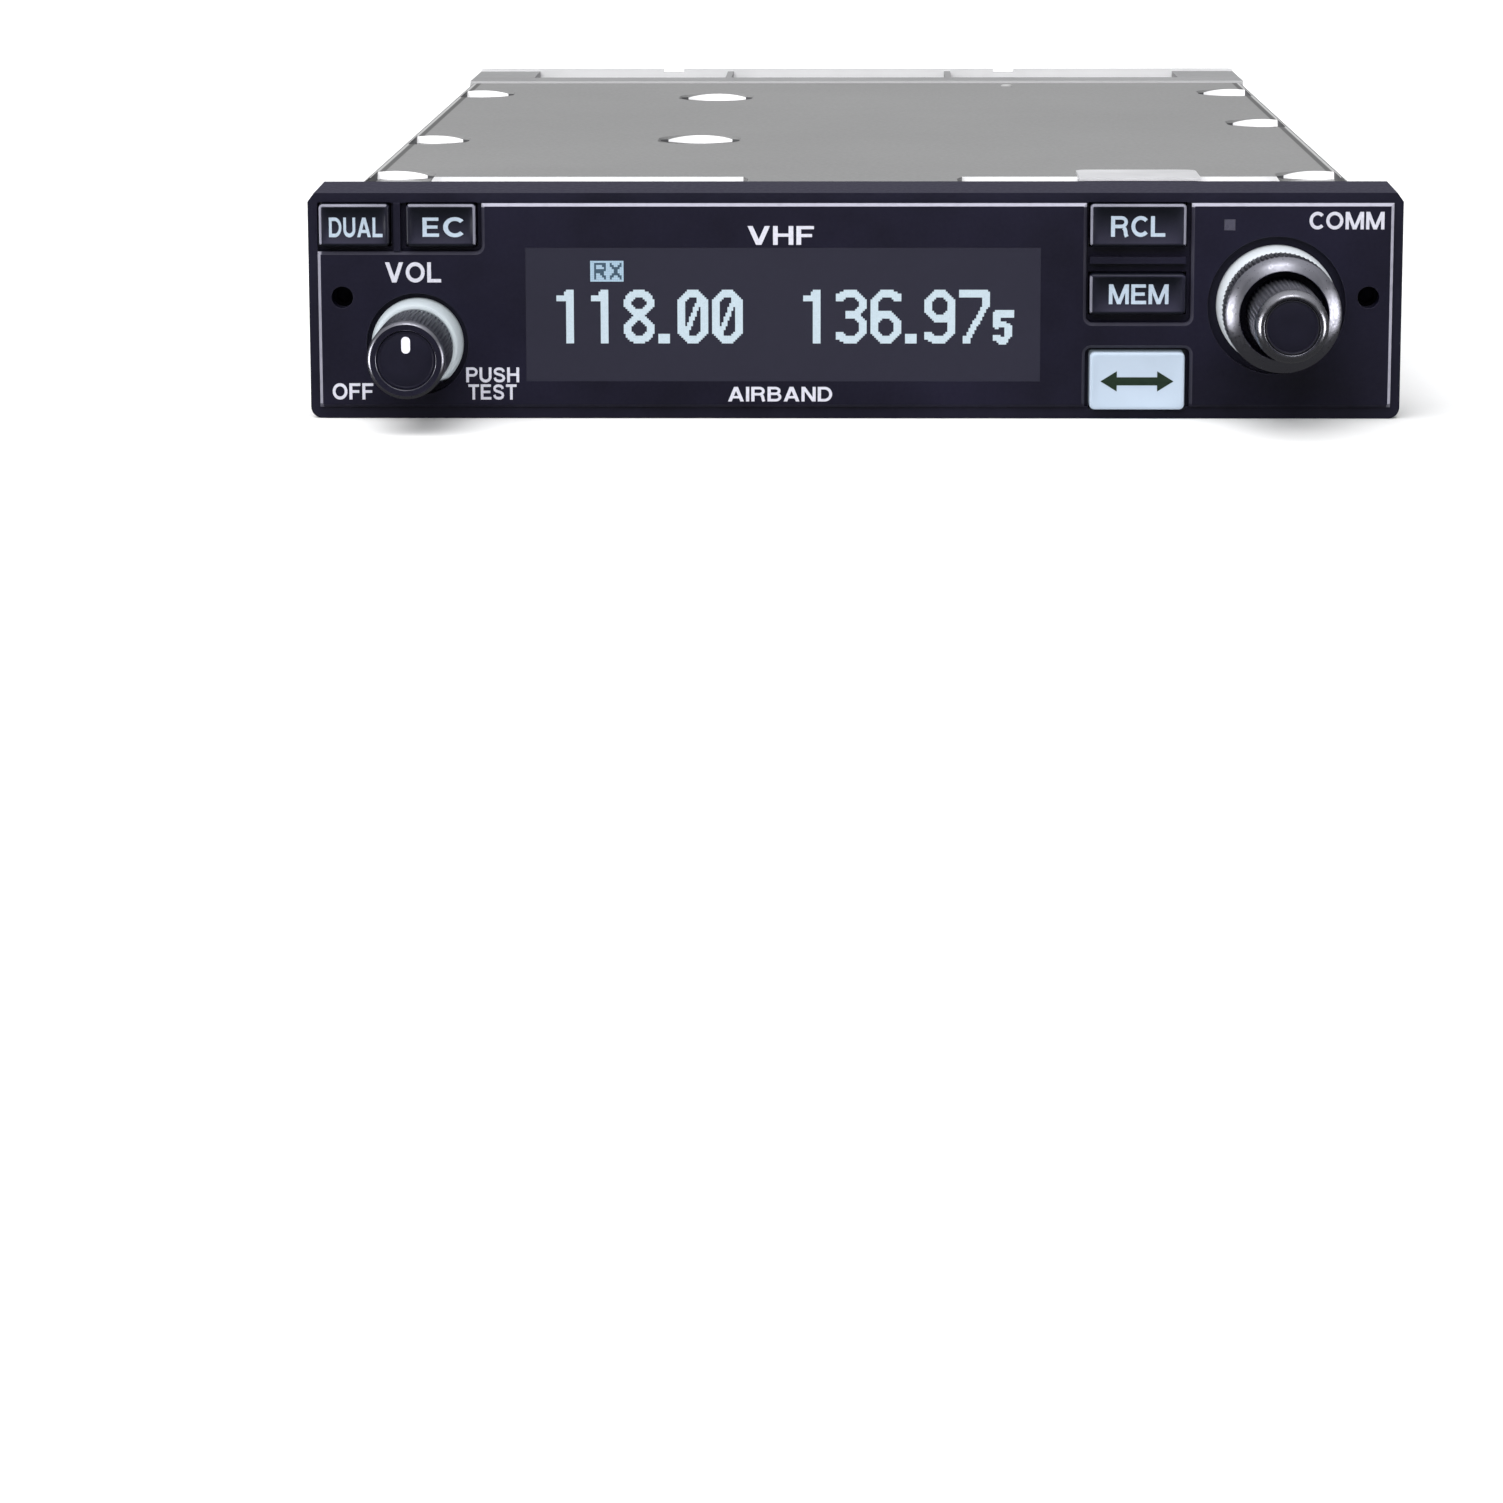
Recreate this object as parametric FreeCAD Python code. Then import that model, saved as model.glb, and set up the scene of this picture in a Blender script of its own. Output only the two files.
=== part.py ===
import FreeCAD
import Part
import math
import os

# Panel-mounted airband radio, millimetres.
# X runs to the right seen from the front, Y runs from the front panel to the rear, Z runs up.
# Every depth d is counted rearwards from the face of the light plate, so y = FRONT_Y + d.

# ---- driving dimensions -------------------------------------------------------------------
PANEL_W = 160.0          # front panel, standard wide flat format
PANEL_H = 34.0
UNIT_DEPTH = 271.0       # light plate to the back of the heat sink
KNOB_REACH = 28.5        # tip of the tuning knob in front of the light plate
PLUG_REACH = 9.0         # antenna plug behind the heat sink
FRONT_Y = (KNOB_REACH - UNIT_DEPTH - PLUG_REACH) / 2.0

CASE_W = 148.2
COVER_TOP = 33.2
COVER_BOTTOM = 0.8
SHEET = 0.8              # cover sheet
COVER_REAR = 240.0       # where the heat sink starts
COVER_FRONT = 27.5       # front edge of the top cover beside its tongue
TONGUE_X = (-16.0, 15.4)
TONGUE_FLARE = (0.8, 24.0)   # how far the tongue widens, and the depth where that starts
LEDGE_LAP = 1.0          # the roof ledges reach this far under the tongue
FLANGE_D = 10.0          # rear face of the bezel
FLANGE_T = 2.0           # front flange of the chassis

RIM_D = 0.8              # the bezel rim stands back from the light plate
PLATE_T = 1.6
PLATE_X = 78.6
PLATE_Z = (1.7, 31.65)
PLATE_CHAMFER = 0.45
WALL_D = (1.6, 3.4)      # front wall of the bezel
BOARD_D = (6.5, 8.1)     # front circuit board
KEY_GAP = 0.15
KEY_TRAVEL = 0.7

LEFT_BAY = (-78.6, -54.5, 24.6, 31.65)
RIGHT_BAY = (33.9, 49.15, 14.2, 31.65)
SWAP_BAY = (33.8, 49.1, 1.7, 10.45)
KEYS = {
    "dual_button": (-78.3, -68.0, 25.35, 31.6),
    "channel_button": (-65.5, -55.3, 25.35, 31.6),
    "recall_button": (34.35, 48.4, 25.3, 31.6),
    "memory_button": (34.35, 48.4, 15.4, 21.4),
    "swap_button": (34.5, 48.4, 1.45, 9.9),
}
KEY_FRONT = -0.5
KEY_FLANGE_D = (3.5, 4.1)
PAD_D = (4.9, 5.6)
SILICONE_D = (5.6, 6.5)

WINDOW = (-48.1, 27.2, 5.6, 25.15)
VOLUME = (-64.1, 11.0)   # X, Z of the volume axis
VOLUME_TIP = -20.0
TUNING = (61.7, 16.7)
VOLUME_HOLE_R = 7.5
TUNING_HOLE_R = 10.1
LOCK_X = 75.05
LOCK_Z = 17.9
LOCK_HOLE_R = 1.6
SENSOR = (54.7, 28.5)
SENSOR_SIDE = 1.6
BEZEL_SCREWS = [(-51.8, 28.6), (-51.8, 3.6), (31.0, 28.6), (31.0, 3.6),
                (76.1, 28.6), (76.1, 3.7), (-76.1, 3.7)]

WALL_X = (71.3, 73.3)    # chassis side walls
RAIL_RIB = 3.0           # how far their ribs reach inwards
REAR_PLATE_T = 3.0
LEDGES_D = [34.0, 128.0, 212.0]      # where the walls carry the main board
HEAT_SINK_SCREWS = [(-66.0, 6.6), (-66.0, 27.0), (66.0, 6.6), (66.0, 27.0)]
BOARD_Z = (8.0, 9.6)     # main circuit board
SIDE_FLANGE = 8.0        # how far the covers reach down or up the sides
DIMPLE_R = 6.8
DIMPLE_STRETCH = 2.6     # each dimple is longer than wide by twice this
DIMPLE_DEPTH = 1.3
DIMPLE_SLOPE = 0.9       # how far its walls lean in
DIMPLE_INSET = 3.7       # side dimple centre, inside the case edge
DIMPLE_MARGIN = 1.0      # rim left whole between a side dimple and the case edge
LEFT_DIMPLES = [29.0, 100.0, 211.0]
RIGHT_DIMPLES = [28.5, 136.5, 213.5]
CENTRE_DIMPLES = [(-25.7, 100.5), (-25.7, 201.5)]
COVER_SCREWS_D = [48.0, 160.0, 228.0]
TOP_SCREW_Z = 27.6
BOTTOM_SCREW_Z = 5.0

DATA_PLUG = (-28.0, 16.0)    # X, Z of the data connector
JACK_SPACING = 47.04         # standard spacing of the jackscrews of a 25-way connector
ANTENNA = (45.0, 17.0)
ANTENNA_R = 4.0
LOCATOR_X = 66.0
LOCATOR_Z = 17.0
LOCATOR_R = 2.0
LOCATOR_DEPTH = 8.0

os.makedirs("parts", exist_ok=True)


# ---- helpers -------------------------------------------------------------------------------
def vec(x, d, z):
    return FreeCAD.Vector(x, FRONT_Y + d, z)


def box(x0, x1, d0, d1, z0, z1):
    return Part.makeBox(x1 - x0, d1 - d0, z1 - z0, vec(x0, d0, z0))


def rod(x, z, radius, d0, d1):
    """Cylinder along +Y."""
    return Part.makeCylinder(radius, d1 - d0, vec(x, d0, z), FreeCAD.Vector(0, 1, 0))


def taper(x, z, r0, r1, d0, d1):
    """Cone along +Y, radius r0 at d0 and r1 at d1."""
    return Part.makeCone(r0, r1, d1 - d0, vec(x, d0, z), FreeCAD.Vector(0, 1, 0))


def post(x, d, radius, z0, z1):
    """Cylinder along +Z."""
    return Part.makeCylinder(radius, z1 - z0, vec(x, d, z0), FreeCAD.Vector(0, 0, 1))


def side_rod(x0, x1, d, z, radius):
    """Cylinder along X from x0 to x1, in either direction."""
    way = FreeCAD.Vector(1 if x1 > x0 else -1, 0, 0)
    return Part.makeCylinder(radius, abs(x1 - x0), vec(x0, d, z), way)


def rounded(x0, x1, d0, d1, z0, z1, radius):
    """Block along Y whose four long edges are rounded."""
    solid = box(x0, x1, d0, d1, z0, z1)
    edges = [e for e in solid.Edges if abs(e.Vertexes[0].Y - e.Vertexes[1].Y) > 1e-6]
    return solid.makeFillet(radius, edges)


def hexagon(x, z, across_flats, d0, d1):
    """Hexagonal prism along +Y."""
    radius = across_flats / math.sqrt(3.0)
    points = []
    for i in range(7):
        angle = math.radians(60.0 * i + 30.0)
        points.append(vec(x + radius * math.cos(angle), d0, z + radius * math.sin(angle)))
    return Part.Face(Part.makePolygon(points)).extrude(FreeCAD.Vector(0, d1 - d0, 0))


def outline(points, d0, d1):
    """Prism along +Y over a closed outline of X, Z points."""
    loop = [vec(x, d0, z) for x, z in points]
    loop.append(loop[0])
    return Part.Face(Part.makePolygon(loop)).extrude(FreeCAD.Vector(0, d1 - d0, 0))


def join(shapes):
    return shapes[0].multiFuse(shapes[1:]) if len(shapes) > 1 else shapes[0]


def cut(shape, tools):
    return shape.cut(Part.makeCompound(tools) if len(tools) == 1 else join(tools))


def save(name, shape):
    clean = shape if shape.ShapeType == "Compound" else shape.removeSplitter()
    clean.exportStep("parts/" + name + ".step")
    print(name, len(clean.Solids), round(clean.Volume, 1), clean.isValid())


def save_group(name, shapes):
    save(name, Part.makeCompound(shapes))


# ---- front panel ---------------------------------------------------------------------------
def panel_block():
    """Outer form of the bezel: sloped top, chamfered top corners, rounded bottom corners."""
    half = PANEL_W / 2.0
    block = outline([(-half, 0), (half, 0), (half, 31.8), (78.4, PANEL_H), (-78.4, PANEL_H),
                     (-half, 31.8)], RIM_D, FLANGE_D)
    low = [e for e in block.Edges
           if abs(e.Vertexes[0].Y - e.Vertexes[1].Y) > 1.0 and e.BoundBox.ZMax < 1.0]
    block = block.makeFillet(1.7, low)
    slope = Part.Face(Part.makePolygon([vec(-90, RIM_D, 33.1), vec(-90, FLANGE_D, PANEL_H),
                                        vec(-90, FLANGE_D, 36), vec(-90, RIM_D - 2, 36),
                                        vec(-90, RIM_D - 2, 32.9), vec(-90, RIM_D, 33.1)]))
    return block.cut(slope.extrude(FreeCAD.Vector(180, 0, 0)))


def grown(key, gap, d0, d1):
    x0, x1, z0, z1 = key
    return box(x0 - gap, x1 + gap, d0, d1, z0 - gap, z1 + gap)


def lock_holes(d0, d1):
    return [rod(side * LOCK_X, LOCK_Z, LOCK_HOLE_R, d0, d1) for side in (-1, 1)]


def front_bezel():
    tools = [box(-PLATE_X, PLATE_X, 0, WALL_D[0], PLATE_Z[0], PLATE_Z[1]),
             box(-78.8, 78.8, WALL_D[1], FLANGE_D, 0.9, 32.3)]
    for key in KEYS.values():
        tools.append(grown(key, KEY_GAP, -1, WALL_D[1] + 0.5))
    x0, x1, z0, z1 = WINDOW
    tools.append(box(x0 + 0.7, x1 - 0.7, 0, 5, z0 + 0.7, z1 - 0.7))
    tools.append(rod(VOLUME[0], VOLUME[1], 3.55, 0, 5))
    tools.append(rod(TUNING[0], TUNING[1], 4.55, 0, 5))
    tools.append(box(SENSOR[0] - 0.8, SENSOR[0] + 0.8, 0, 5, SENSOR[1] - 0.8, SENSOR[1] + 0.8))
    tools += lock_holes(0, 5)
    body = cut(panel_block(), tools)
    posts = [box(-67.4, -66.4, 0.2, WALL_D[0], LEFT_BAY[2], LEFT_BAY[3]),
             box(34.4, 48.4, 0.2, WALL_D[0], 22.8, 23.75)]
    for x, z in BEZEL_SCREWS:
        posts.append(rod(x, z, 2.3, WALL_D[1], BOARD_D[0]))
    body = join([body] + posts)
    body = cut(body, [rod(x, z, 1.0, WALL_D[1] - 0.6, BOARD_D[0] + 1) for x, z in BEZEL_SCREWS])
    # the bosses in the corners stay inside the outer form
    save("front_bezel", body.common(panel_block().fuse(box(-78, 78, 0.1, 5, 2, 31.7))))


def light_plate():
    low, high = PLATE_Z
    plate = box(-PLATE_X, PLATE_X, 0, PLATE_T, low, high)
    bays = []
    for x0, x1, z0, z1 in (LEFT_BAY, RIGHT_BAY, SWAP_BAY):
        left = x0 - 2 if x0 <= -PLATE_X else x0
        bottom = z0 - 2 if z0 <= low else z0
        top = z1 + 2 if z1 >= high else z1
        bays.append(rounded(left, x1, -1, 3, bottom, top, 0.9))
    plate = cut(plate, bays)
    rim = [e for e in plate.Edges if e.BoundBox.YMax < FRONT_Y + 0.001]
    plate = plate.makeChamfer(PLATE_CHAMFER, rim)
    x0, x1, z0, z1 = WINDOW
    holes = [box(x0, x1, -1, 3, z0, z1),
             rod(VOLUME[0], VOLUME[1], VOLUME_HOLE_R, -1, 3),
             rod(TUNING[0], TUNING[1], TUNING_HOLE_R, -1, 3),
             box(SENSOR[0] - 0.8, SENSOR[0] + 0.8, -1, 3, SENSOR[1] - 0.8, SENSOR[1] + 0.8)]
    holes += lock_holes(-1, 3)
    save("light_plate", cut(plate, holes))


def display_parts():
    x0, x1, z0, z1 = WINDOW
    save("display_window", box(x0, x1, 0, PLATE_T, z0, z1))
    save("display_module", box(x0 - 0.4, x1 + 0.4, WALL_D[1], 5.0, z0 - 0.6, z1 + 0.6))
    frame = box(x0 - 0.9, x1 + 0.9, 5.0, BOARD_D[0], z0 - 1.2, z1 + 1.2)
    lip = box(x0 - 0.9, x1 + 0.9, WALL_D[1], 5.0, z0 - 1.2, z1 + 1.2)
    lip = lip.cut(box(x0 - 0.4, x1 + 0.4, 3, 5.5, z0 - 0.6, z1 + 0.6))
    save("display_frame", frame.fuse(lip))
    side = SENSOR_SIDE / 2.0
    save("light_sensor_lens", box(SENSOR[0] - side, SENSOR[0] + side, 0, BOARD_D[0],
                                  SENSOR[1] - side, SENSOR[1] + side))


def button(name):
    """Key with a hollow, scooped face, bevelled edges and a flange behind the front wall."""
    x0, x1, z0, z1 = KEYS[name]
    body = box(x0, x1, KEY_FRONT, KEY_FLANGE_D[0], z0, z1)
    rim = [e for e in body.Edges if e.BoundBox.YMax < FRONT_Y + KEY_FRONT + 0.001]
    body = body.makeChamfer(0.35, rim)
    height = z1 - z0 - 0.7
    depth = 0.45
    radius = height * height / (8.0 * depth) + depth / 2.0
    centre = vec(x0 + 0.35, KEY_FRONT + depth - radius, (z0 + z1) / 2.0)
    scoop = Part.makeCylinder(radius, x1 - x0 - 0.7, centre, FreeCAD.Vector(1, 0, 0))
    body = body.cut(scoop)
    flange = grown(KEYS[name], 0.35, KEY_FLANGE_D[0], KEY_FLANGE_D[1])
    if name == "swap_button":
        flange = box(x0 - 0.35, x1 + 0.35, KEY_FLANGE_D[0], KEY_FLANGE_D[1], z0 - 0.3, z1 + 0.35)
    save(name, body.fuse(flange))


def keypads():
    left = [box(-78.4, -54.9, SILICONE_D[0], SILICONE_D[1], 24.4, 31.9)]
    right = [box(33.9, 48.9, SILICONE_D[0], SILICONE_D[1], 1.3, 31.9)]
    for name, (x0, x1, z0, z1) in KEYS.items():
        pad = box(x0 + 2.2, x1 - 2.2, PAD_D[0], PAD_D[1], z0 + 1.4, z1 - 1.4)
        (left if x1 < 0 else right).append(pad)
    save("keypad_left", join(left))
    save("keypad_right", join(right))


def front_board():
    board = box(-78.4, 78.4, BOARD_D[0], BOARD_D[1], 1.3, 31.9)
    holes = [rod(x, z, 1.3, 6, 9) for x, z in BEZEL_SCREWS]
    holes.append(rod(VOLUME[0], VOLUME[1], 3.6, 6, 9))
    holes.append(rod(TUNING[0], TUNING[1], 4.6, 6, 9))
    holes.append(box(71.0, 80, 6, 9, 13.6, 22.2))
    holes.append(box(-80, -71.0, 6, 9, 13.6, 22.2))
    save("front_board", cut(board, holes))


def bezel_screws():
    screws = []
    for x, z in BEZEL_SCREWS:
        shank = rod(x, z, 0.98, 4.5, FLANGE_D + FLANGE_T)
        head = rod(x, z, 1.9, FLANGE_D + FLANGE_T, FLANGE_D + FLANGE_T + 1.5)
        screw = shank.fuse(head)
        screws.append(screw.cut(hexagon(x, z, 1.6, FLANGE_D + FLANGE_T + 0.6, 15)))
    save_group("bezel_screws", screws)


# ---- volume control ------------------------------------------------------------------------
def volume_control():
    x, z = VOLUME
    ring = taper(x, z, 6.2, 6.75, -3.6, -0.4).fuse(rod(x, z, 6.75, -0.4, WALL_D[0]))
    save("volume_light_ring", ring.cut(rod(x, z, 5.4, -5, 3)))
    body = box(x - 6, x + 6, BOARD_D[1], 14.9, z - 6, z + 6).fuse(rod(x, z, 3.5, -1.5, BOARD_D[1]))
    save("volume_encoder", cut(body, [rod(x, z, 3.05, -2, 13.4)]))
    nut = hexagon(x, z, 9.0, -0.5, WALL_D[0]).cut(rod(x, z, 3.5, -1, 2))
    save("volume_nut", nut)
    save("volume_plunger", rod(x, z, 2.6, 11.0, 12.4))
    tip = VOLUME_TIP
    save("volume_shaft", rod(x, z, 3.0, tip + 3.4, 10.9))
    knob = rod(x, z, 5.65, tip + 0.6, -4.6).fuse(taper(x, z, 5.05, 5.65, tip, tip + 0.6))
    knob = cut(knob, [rod(x, z, 4.25, tip - 1, tip + 0.7), rod(x, z, 3.0, tip + 3.4, -4)])
    save("volume_knob", knob)
    save("volume_knob_cap", rod(x, z, 4.25, tip + 0.4, tip + 0.7))


# ---- tuning control ------------------------------------------------------------------------
def tuning_control():
    x, z = TUNING
    ring = taper(x, z, 8.4, 8.8, -4.0, -1.0).fuse(rod(x, z, 8.8, -1.0, WALL_D[0]))
    save("tuning_light_ring", ring.cut(rod(x, z, 7.3, -5, 3)))
    body = box(x - 8, x + 8, BOARD_D[1], 18.0, z - 8, z + 8).fuse(rod(x, z, 4.5, -2.0, BOARD_D[1]))
    save("tuning_encoder", cut(body, [rod(x, z, 3.55, -3, 12.2), rod(x, z, 2.05, 12, 17.0)]))
    save("tuning_nut", hexagon(x, z, 12.0, -0.6, WALL_D[0]).cut(rod(x, z, 4.5, -1, 2)))
    save("tuning_outer_shaft", rod(x, z, 3.5, -9.5, 12.0).cut(rod(x, z, 2.05, -10, 13)))
    save("tuning_inner_shaft", rod(x, z, 2.0, -24.0, 16.4))
    knob = rod(x, z, 8.4, -12.6, -5.0).fuse(taper(x, z, 6.5, 8.4, -14.0, -12.6))
    knob = cut(knob, [rod(x, z, 6.4, -15, -9.5), rod(x, z, 3.5, -10, -4)])
    save("tuning_outer_knob", knob)
    inner = rod(x, z, 5.3, -27.5, -10.2).fuse(taper(x, z, 4.3, 5.3, -KNOB_REACH, -27.5))
    inner = cut(inner, [rod(x, z, 3.9, -30, -28.0), rod(x, z, 2.0, -24.0, -9)])
    save("tuning_inner_knob", inner)
    save("tuning_knob_cap", rod(x, z, 3.9, -28.2, -28.0))


# ---- locks ---------------------------------------------------------------------------------
def locks():
    """Hex-socket screws, each turning a claw that swings out behind the panel's end."""
    for side, word in ((-1, "left"), (1, "right")):
        x = side * LOCK_X
        screw = join([rod(x, LOCK_Z, 2.3, 4.2, 7.1), rod(x, LOCK_Z, 1.5, 7.1, 12.25),
                      rod(x, LOCK_Z, 1.2, 12.25, 15.4)])
        screw = screw.cut(hexagon(x, LOCK_Z, 2.4, 4, 6.2))
        save("lock_screw_" + word, screw)
        claw = rod(x, LOCK_Z, 1.7, 12.3, 14.8).fuse(box(x - 1.3, x + 1.3, 12.3, 14.8, LOCK_Z,
                                                         LOCK_Z + 4.3))
        save("lock_claw_" + word, claw.cut(rod(x, LOCK_Z, 1.2, 12, 15)))


# ---- chassis and covers --------------------------------------------------------------------
def front_flange():
    """Plate behind the bezel with the lock bearings and the ledges under the cover's edge."""
    bottom = COVER_BOTTOM + SHEET
    top = COVER_TOP - SHEET
    rear = FLANGE_D + FLANGE_T
    parts = [box(-78.2, 78.2, FLANGE_D, rear, bottom, top - 0.4)]
    for side in (-1, 1):
        parts.append(rod(side * LOCK_X, LOCK_Z, 3.1, 7.3, FLANGE_D))
    for x, z in BEZEL_SCREWS:
        parts.append(rod(x, z, 2.3, BOARD_D[1], FLANGE_D))
    # roof ledges on both sides of the top cover's tongue
    ledge_x = WALL_X[0] - RAIL_RIB - 0.1
    for x0, x1 in ((-ledge_x, TONGUE_X[0] + LEDGE_LAP), (TONGUE_X[1] - LEDGE_LAP, ledge_x)):
        parts.append(box(x0, x1, rear - 0.5, COVER_FRONT + 1.5, top - 1.0, top))
    tools = [rod(x, z, 1.2, 8, 13) for x, z in BEZEL_SCREWS]
    tools.append(box(-72.0, -57.0, 7, 13, 4.4, 18.6))
    tools.append(box(52.5, 70.9, 7, 13, 7.6, 25.8))
    tools.append(box(-46.0, 26.0, 7, 13, 6.4, 27.6))
    tools += [rod(side * LOCK_X, LOCK_Z, 1.55, 7, 13) for side in (-1, 1)]
    tools += dimple_reliefs()
    save("front_flange", cut(join(parts), tools))


def dimple_reliefs():
    """Room for the covers' side dimples, which dip past the edges of the walls."""
    reliefs = []
    for side, depths in ((-1, LEFT_DIMPLES), (1, RIGHT_DIMPLES)):
        for d in depths:
            x = side * (CASE_W / 2.0 - DIMPLE_INSET)
            for z0, z1 in ((COVER_TOP - SHEET - DIMPLE_DEPTH, 40.0),
                           (-5.0, COVER_BOTTOM + SHEET + DIMPLE_DEPTH)):
                r = DIMPLE_R + 1.0
                reliefs += [post(x, d - DIMPLE_STRETCH, r, z0, z1),
                            post(x, d + DIMPLE_STRETCH, r, z0, z1),
                            box(x - r, x + r, d - DIMPLE_STRETCH, d + DIMPLE_STRETCH, z0, z1)]
    return reliefs


def side_rail(name, side):
    """Cast side wall with ribs under the covers and ledges for the main board."""
    inner, outer = WALL_X
    bottom = COVER_BOTTOM + SHEET
    top = COVER_TOP - SHEET
    front = FLANGE_D + FLANGE_T
    rear = COVER_REAR - REAR_PLATE_T

    def span(x0, x1, d0, d1, z0, z1):
        low, high = sorted((side * x0, side * x1))
        return box(low, high, d0, d1, z0, z1)

    parts = [span(inner, outer, front, rear, bottom, top)]
    for z0, z1 in ((bottom, bottom + 2.0), (top - 2.0, top)):
        parts.append(span(inner - RAIL_RIB, inner, front, rear, z0, z1))
    for d in LEDGES_D:
        parts.append(span(inner - 6.5, inner, d - 5, d + 5, bottom, BOARD_Z[0]))
    tools = [span(72.5, 80, front, 17.5, 13.4, 25.4)]
    for d in COVER_SCREWS_D:
        for z in (TOP_SCREW_Z, BOTTOM_SCREW_Z):
            tools.append(side_rod(side * (inner - 0.5), side * 74.5, d, z, 1.02))
    for d in LEDGES_D:
        tools.append(post(side * (inner - 3.2), d, 1.0, 3.0, 12.0))
    # the flange's rear screws stand in the way of the front end of the ribs
    for x, z in BEZEL_SCREWS:
        tools.append(rod(x, z, 2.2, front - 1, front + 2.0))
    save(name, cut(join(parts), tools + dimple_reliefs()))


def rear_plate():
    """Rear wall of the chassis, which carries the heat sink."""
    rear = COVER_REAR - REAR_PLATE_T
    plate = box(-WALL_X[1], WALL_X[1], rear, COVER_REAR, COVER_BOTTOM + SHEET, COVER_TOP - SHEET)
    dx, dz = DATA_PLUG
    tools = [box(dx - 27.0, dx + 27.0, rear - 1, COVER_REAR + 1, dz - 6.6, dz + 6.6),
             rod(ANTENNA[0], ANTENNA[1], 7.0, rear - 1, COVER_REAR + 1)]
    for x, z in HEAT_SINK_SCREWS:
        tools.append(rod(x, z, 1.4, rear - 1, COVER_REAR + 1))
    save("rear_plate", cut(plate, tools))


def dimple(x, d, top, radius, depth):
    """Shallow oblong dish, pressed into the sheet from above when top is True."""
    z0 = COVER_TOP - depth if top else COVER_BOTTOM
    z1 = z0 + depth
    if top:
        lower, upper = radius - DIMPLE_SLOPE, radius
    else:
        lower, upper = radius, radius - DIMPLE_SLOPE
    front = d - DIMPLE_STRETCH
    up = FreeCAD.Vector(0, 0, 1)
    corners = [vec(x - lower, front, z0), vec(x + lower, front, z0), vec(x + upper, front, z1),
               vec(x - upper, front, z1), vec(x - lower, front, z0)]
    middle = Part.Face(Part.makePolygon(corners)).extrude(FreeCAD.Vector(0, 2 * DIMPLE_STRETCH, 0))
    return join([Part.makeCone(lower, upper, depth, vec(x, front, z0), up), middle,
                 Part.makeCone(lower, upper, depth, vec(x, d + DIMPLE_STRETCH, z0), up)])


def cover(name, top):
    """Pressed sheet with side flanges and dimples of constant thickness."""
    half = CASE_W / 2.0
    front = FLANGE_D
    if top:
        z0, z1 = COVER_TOP - SIDE_FLANGE, COVER_TOP
    else:
        z0, z1 = COVER_BOTTOM, COVER_BOTTOM + SIDE_FLANGE
    outer = box(-half, half, front + FLANGE_T, COVER_REAR, z0, z1)
    long_edges = [e for e in outer.Edges
                  if abs(e.Vertexes[0].Y - e.Vertexes[1].Y) > 1.0
                  and (e.BoundBox.ZMin > COVER_TOP - 0.1 if top else e.BoundBox.ZMax < 1.0)]
    outer = outer.makeFillet(1.0, long_edges)
    if top:
        inner = box(-half + SHEET, half - SHEET, 5, COVER_REAR + 5, z0 - 5, z1 - SHEET)
    else:
        inner = box(-half + SHEET, half - SHEET, 5, COVER_REAR + 5, z0 + SHEET, z1 + 5)
    places = list(CENTRE_DIMPLES)
    places += [(-half + DIMPLE_INSET, d) for d in LEFT_DIMPLES]
    places += [(half - DIMPLE_INSET, d) for d in RIGHT_DIMPLES]
    dips = [dimple(x, d, top, DIMPLE_R, DIMPLE_DEPTH) for x, d in places]
    pressed = join(dips).common(box(DIMPLE_MARGIN - half, half - DIMPLE_MARGIN, 0, COVER_REAR, -5, 40))
    backs = [dimple(x, d, top, DIMPLE_R + 0.75, DIMPLE_DEPTH + SHEET) for x, d in places]
    shell = cut(cut(outer, [pressed]), [inner.cut(join(backs))])
    tools = []
    for side in (-1, 1):
        for d in COVER_SCREWS_D:
            z = TOP_SCREW_Z if top else BOTTOM_SCREW_Z
            tools.append(Part.makeCone(1.0, 2.2, 1.0, vec(side * (half - 1.0), d, z),
                                       FreeCAD.Vector(side, 0, 0)))
    if top:
        # the sheet stops short of the panel except for a tongue
        for side, x in ((-1, TONGUE_X[0]), (1, TONGUE_X[1])):
            points = [(side * 80, 5), (side * 80, COVER_FRONT),
                      (x + side * TONGUE_FLARE[0], COVER_FRONT), (x, TONGUE_FLARE[1]), (x, 5)]
            loop = [vec(x, d, 32.0) for x, d in points]
            loop.append(loop[0])
            step = Part.Face(Part.makePolygon(loop)).extrude(FreeCAD.Vector(0, 0, 5))
            tools.append(step.common(box(-half + SHEET, half - SHEET, 0, 40, 30, 40)))
    save(name, cut(shell, tools))


def cover_screws(name, z):
    half = CASE_W / 2.0
    screws = []
    for side in (-1, 1):
        for d in COVER_SCREWS_D:
            way = FreeCAD.Vector(side, 0, 0)
            head = Part.makeCone(1.1, 2.0, SHEET, vec(side * (half - SHEET), d, z), way)
            shank = side_rod(side * (WALL_X[0] - 0.4), side * (half - SHEET), d, z, 1.0)
            screw = head.fuse(shank)
            socket = side_rod(side * (half - 0.6), side * (half + 0.5), d, z, 0.7)
            screws.append(screw.cut(socket))
    save_group(name, screws)


def grounding_clip():
    """Spring clip hooked over the front edge of the top cover."""
    x0, x1 = 33.6, 51.8
    rear = 35.6
    top = box(x0, x1, 20.2, rear, COVER_TOP, COVER_TOP + 0.4)
    corners = [e for e in top.Edges
               if abs(e.Vertexes[0].Z - e.Vertexes[1].Z) > 0.1 and e.BoundBox.YMin > FRONT_Y + 30]
    top = top.makeFillet(2.0, corners)
    front = box(x0, x1, COVER_FRONT - SHEET, COVER_FRONT, COVER_TOP - SHEET, COVER_TOP)
    save("grounding_clip", top.fuse(front))


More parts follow.
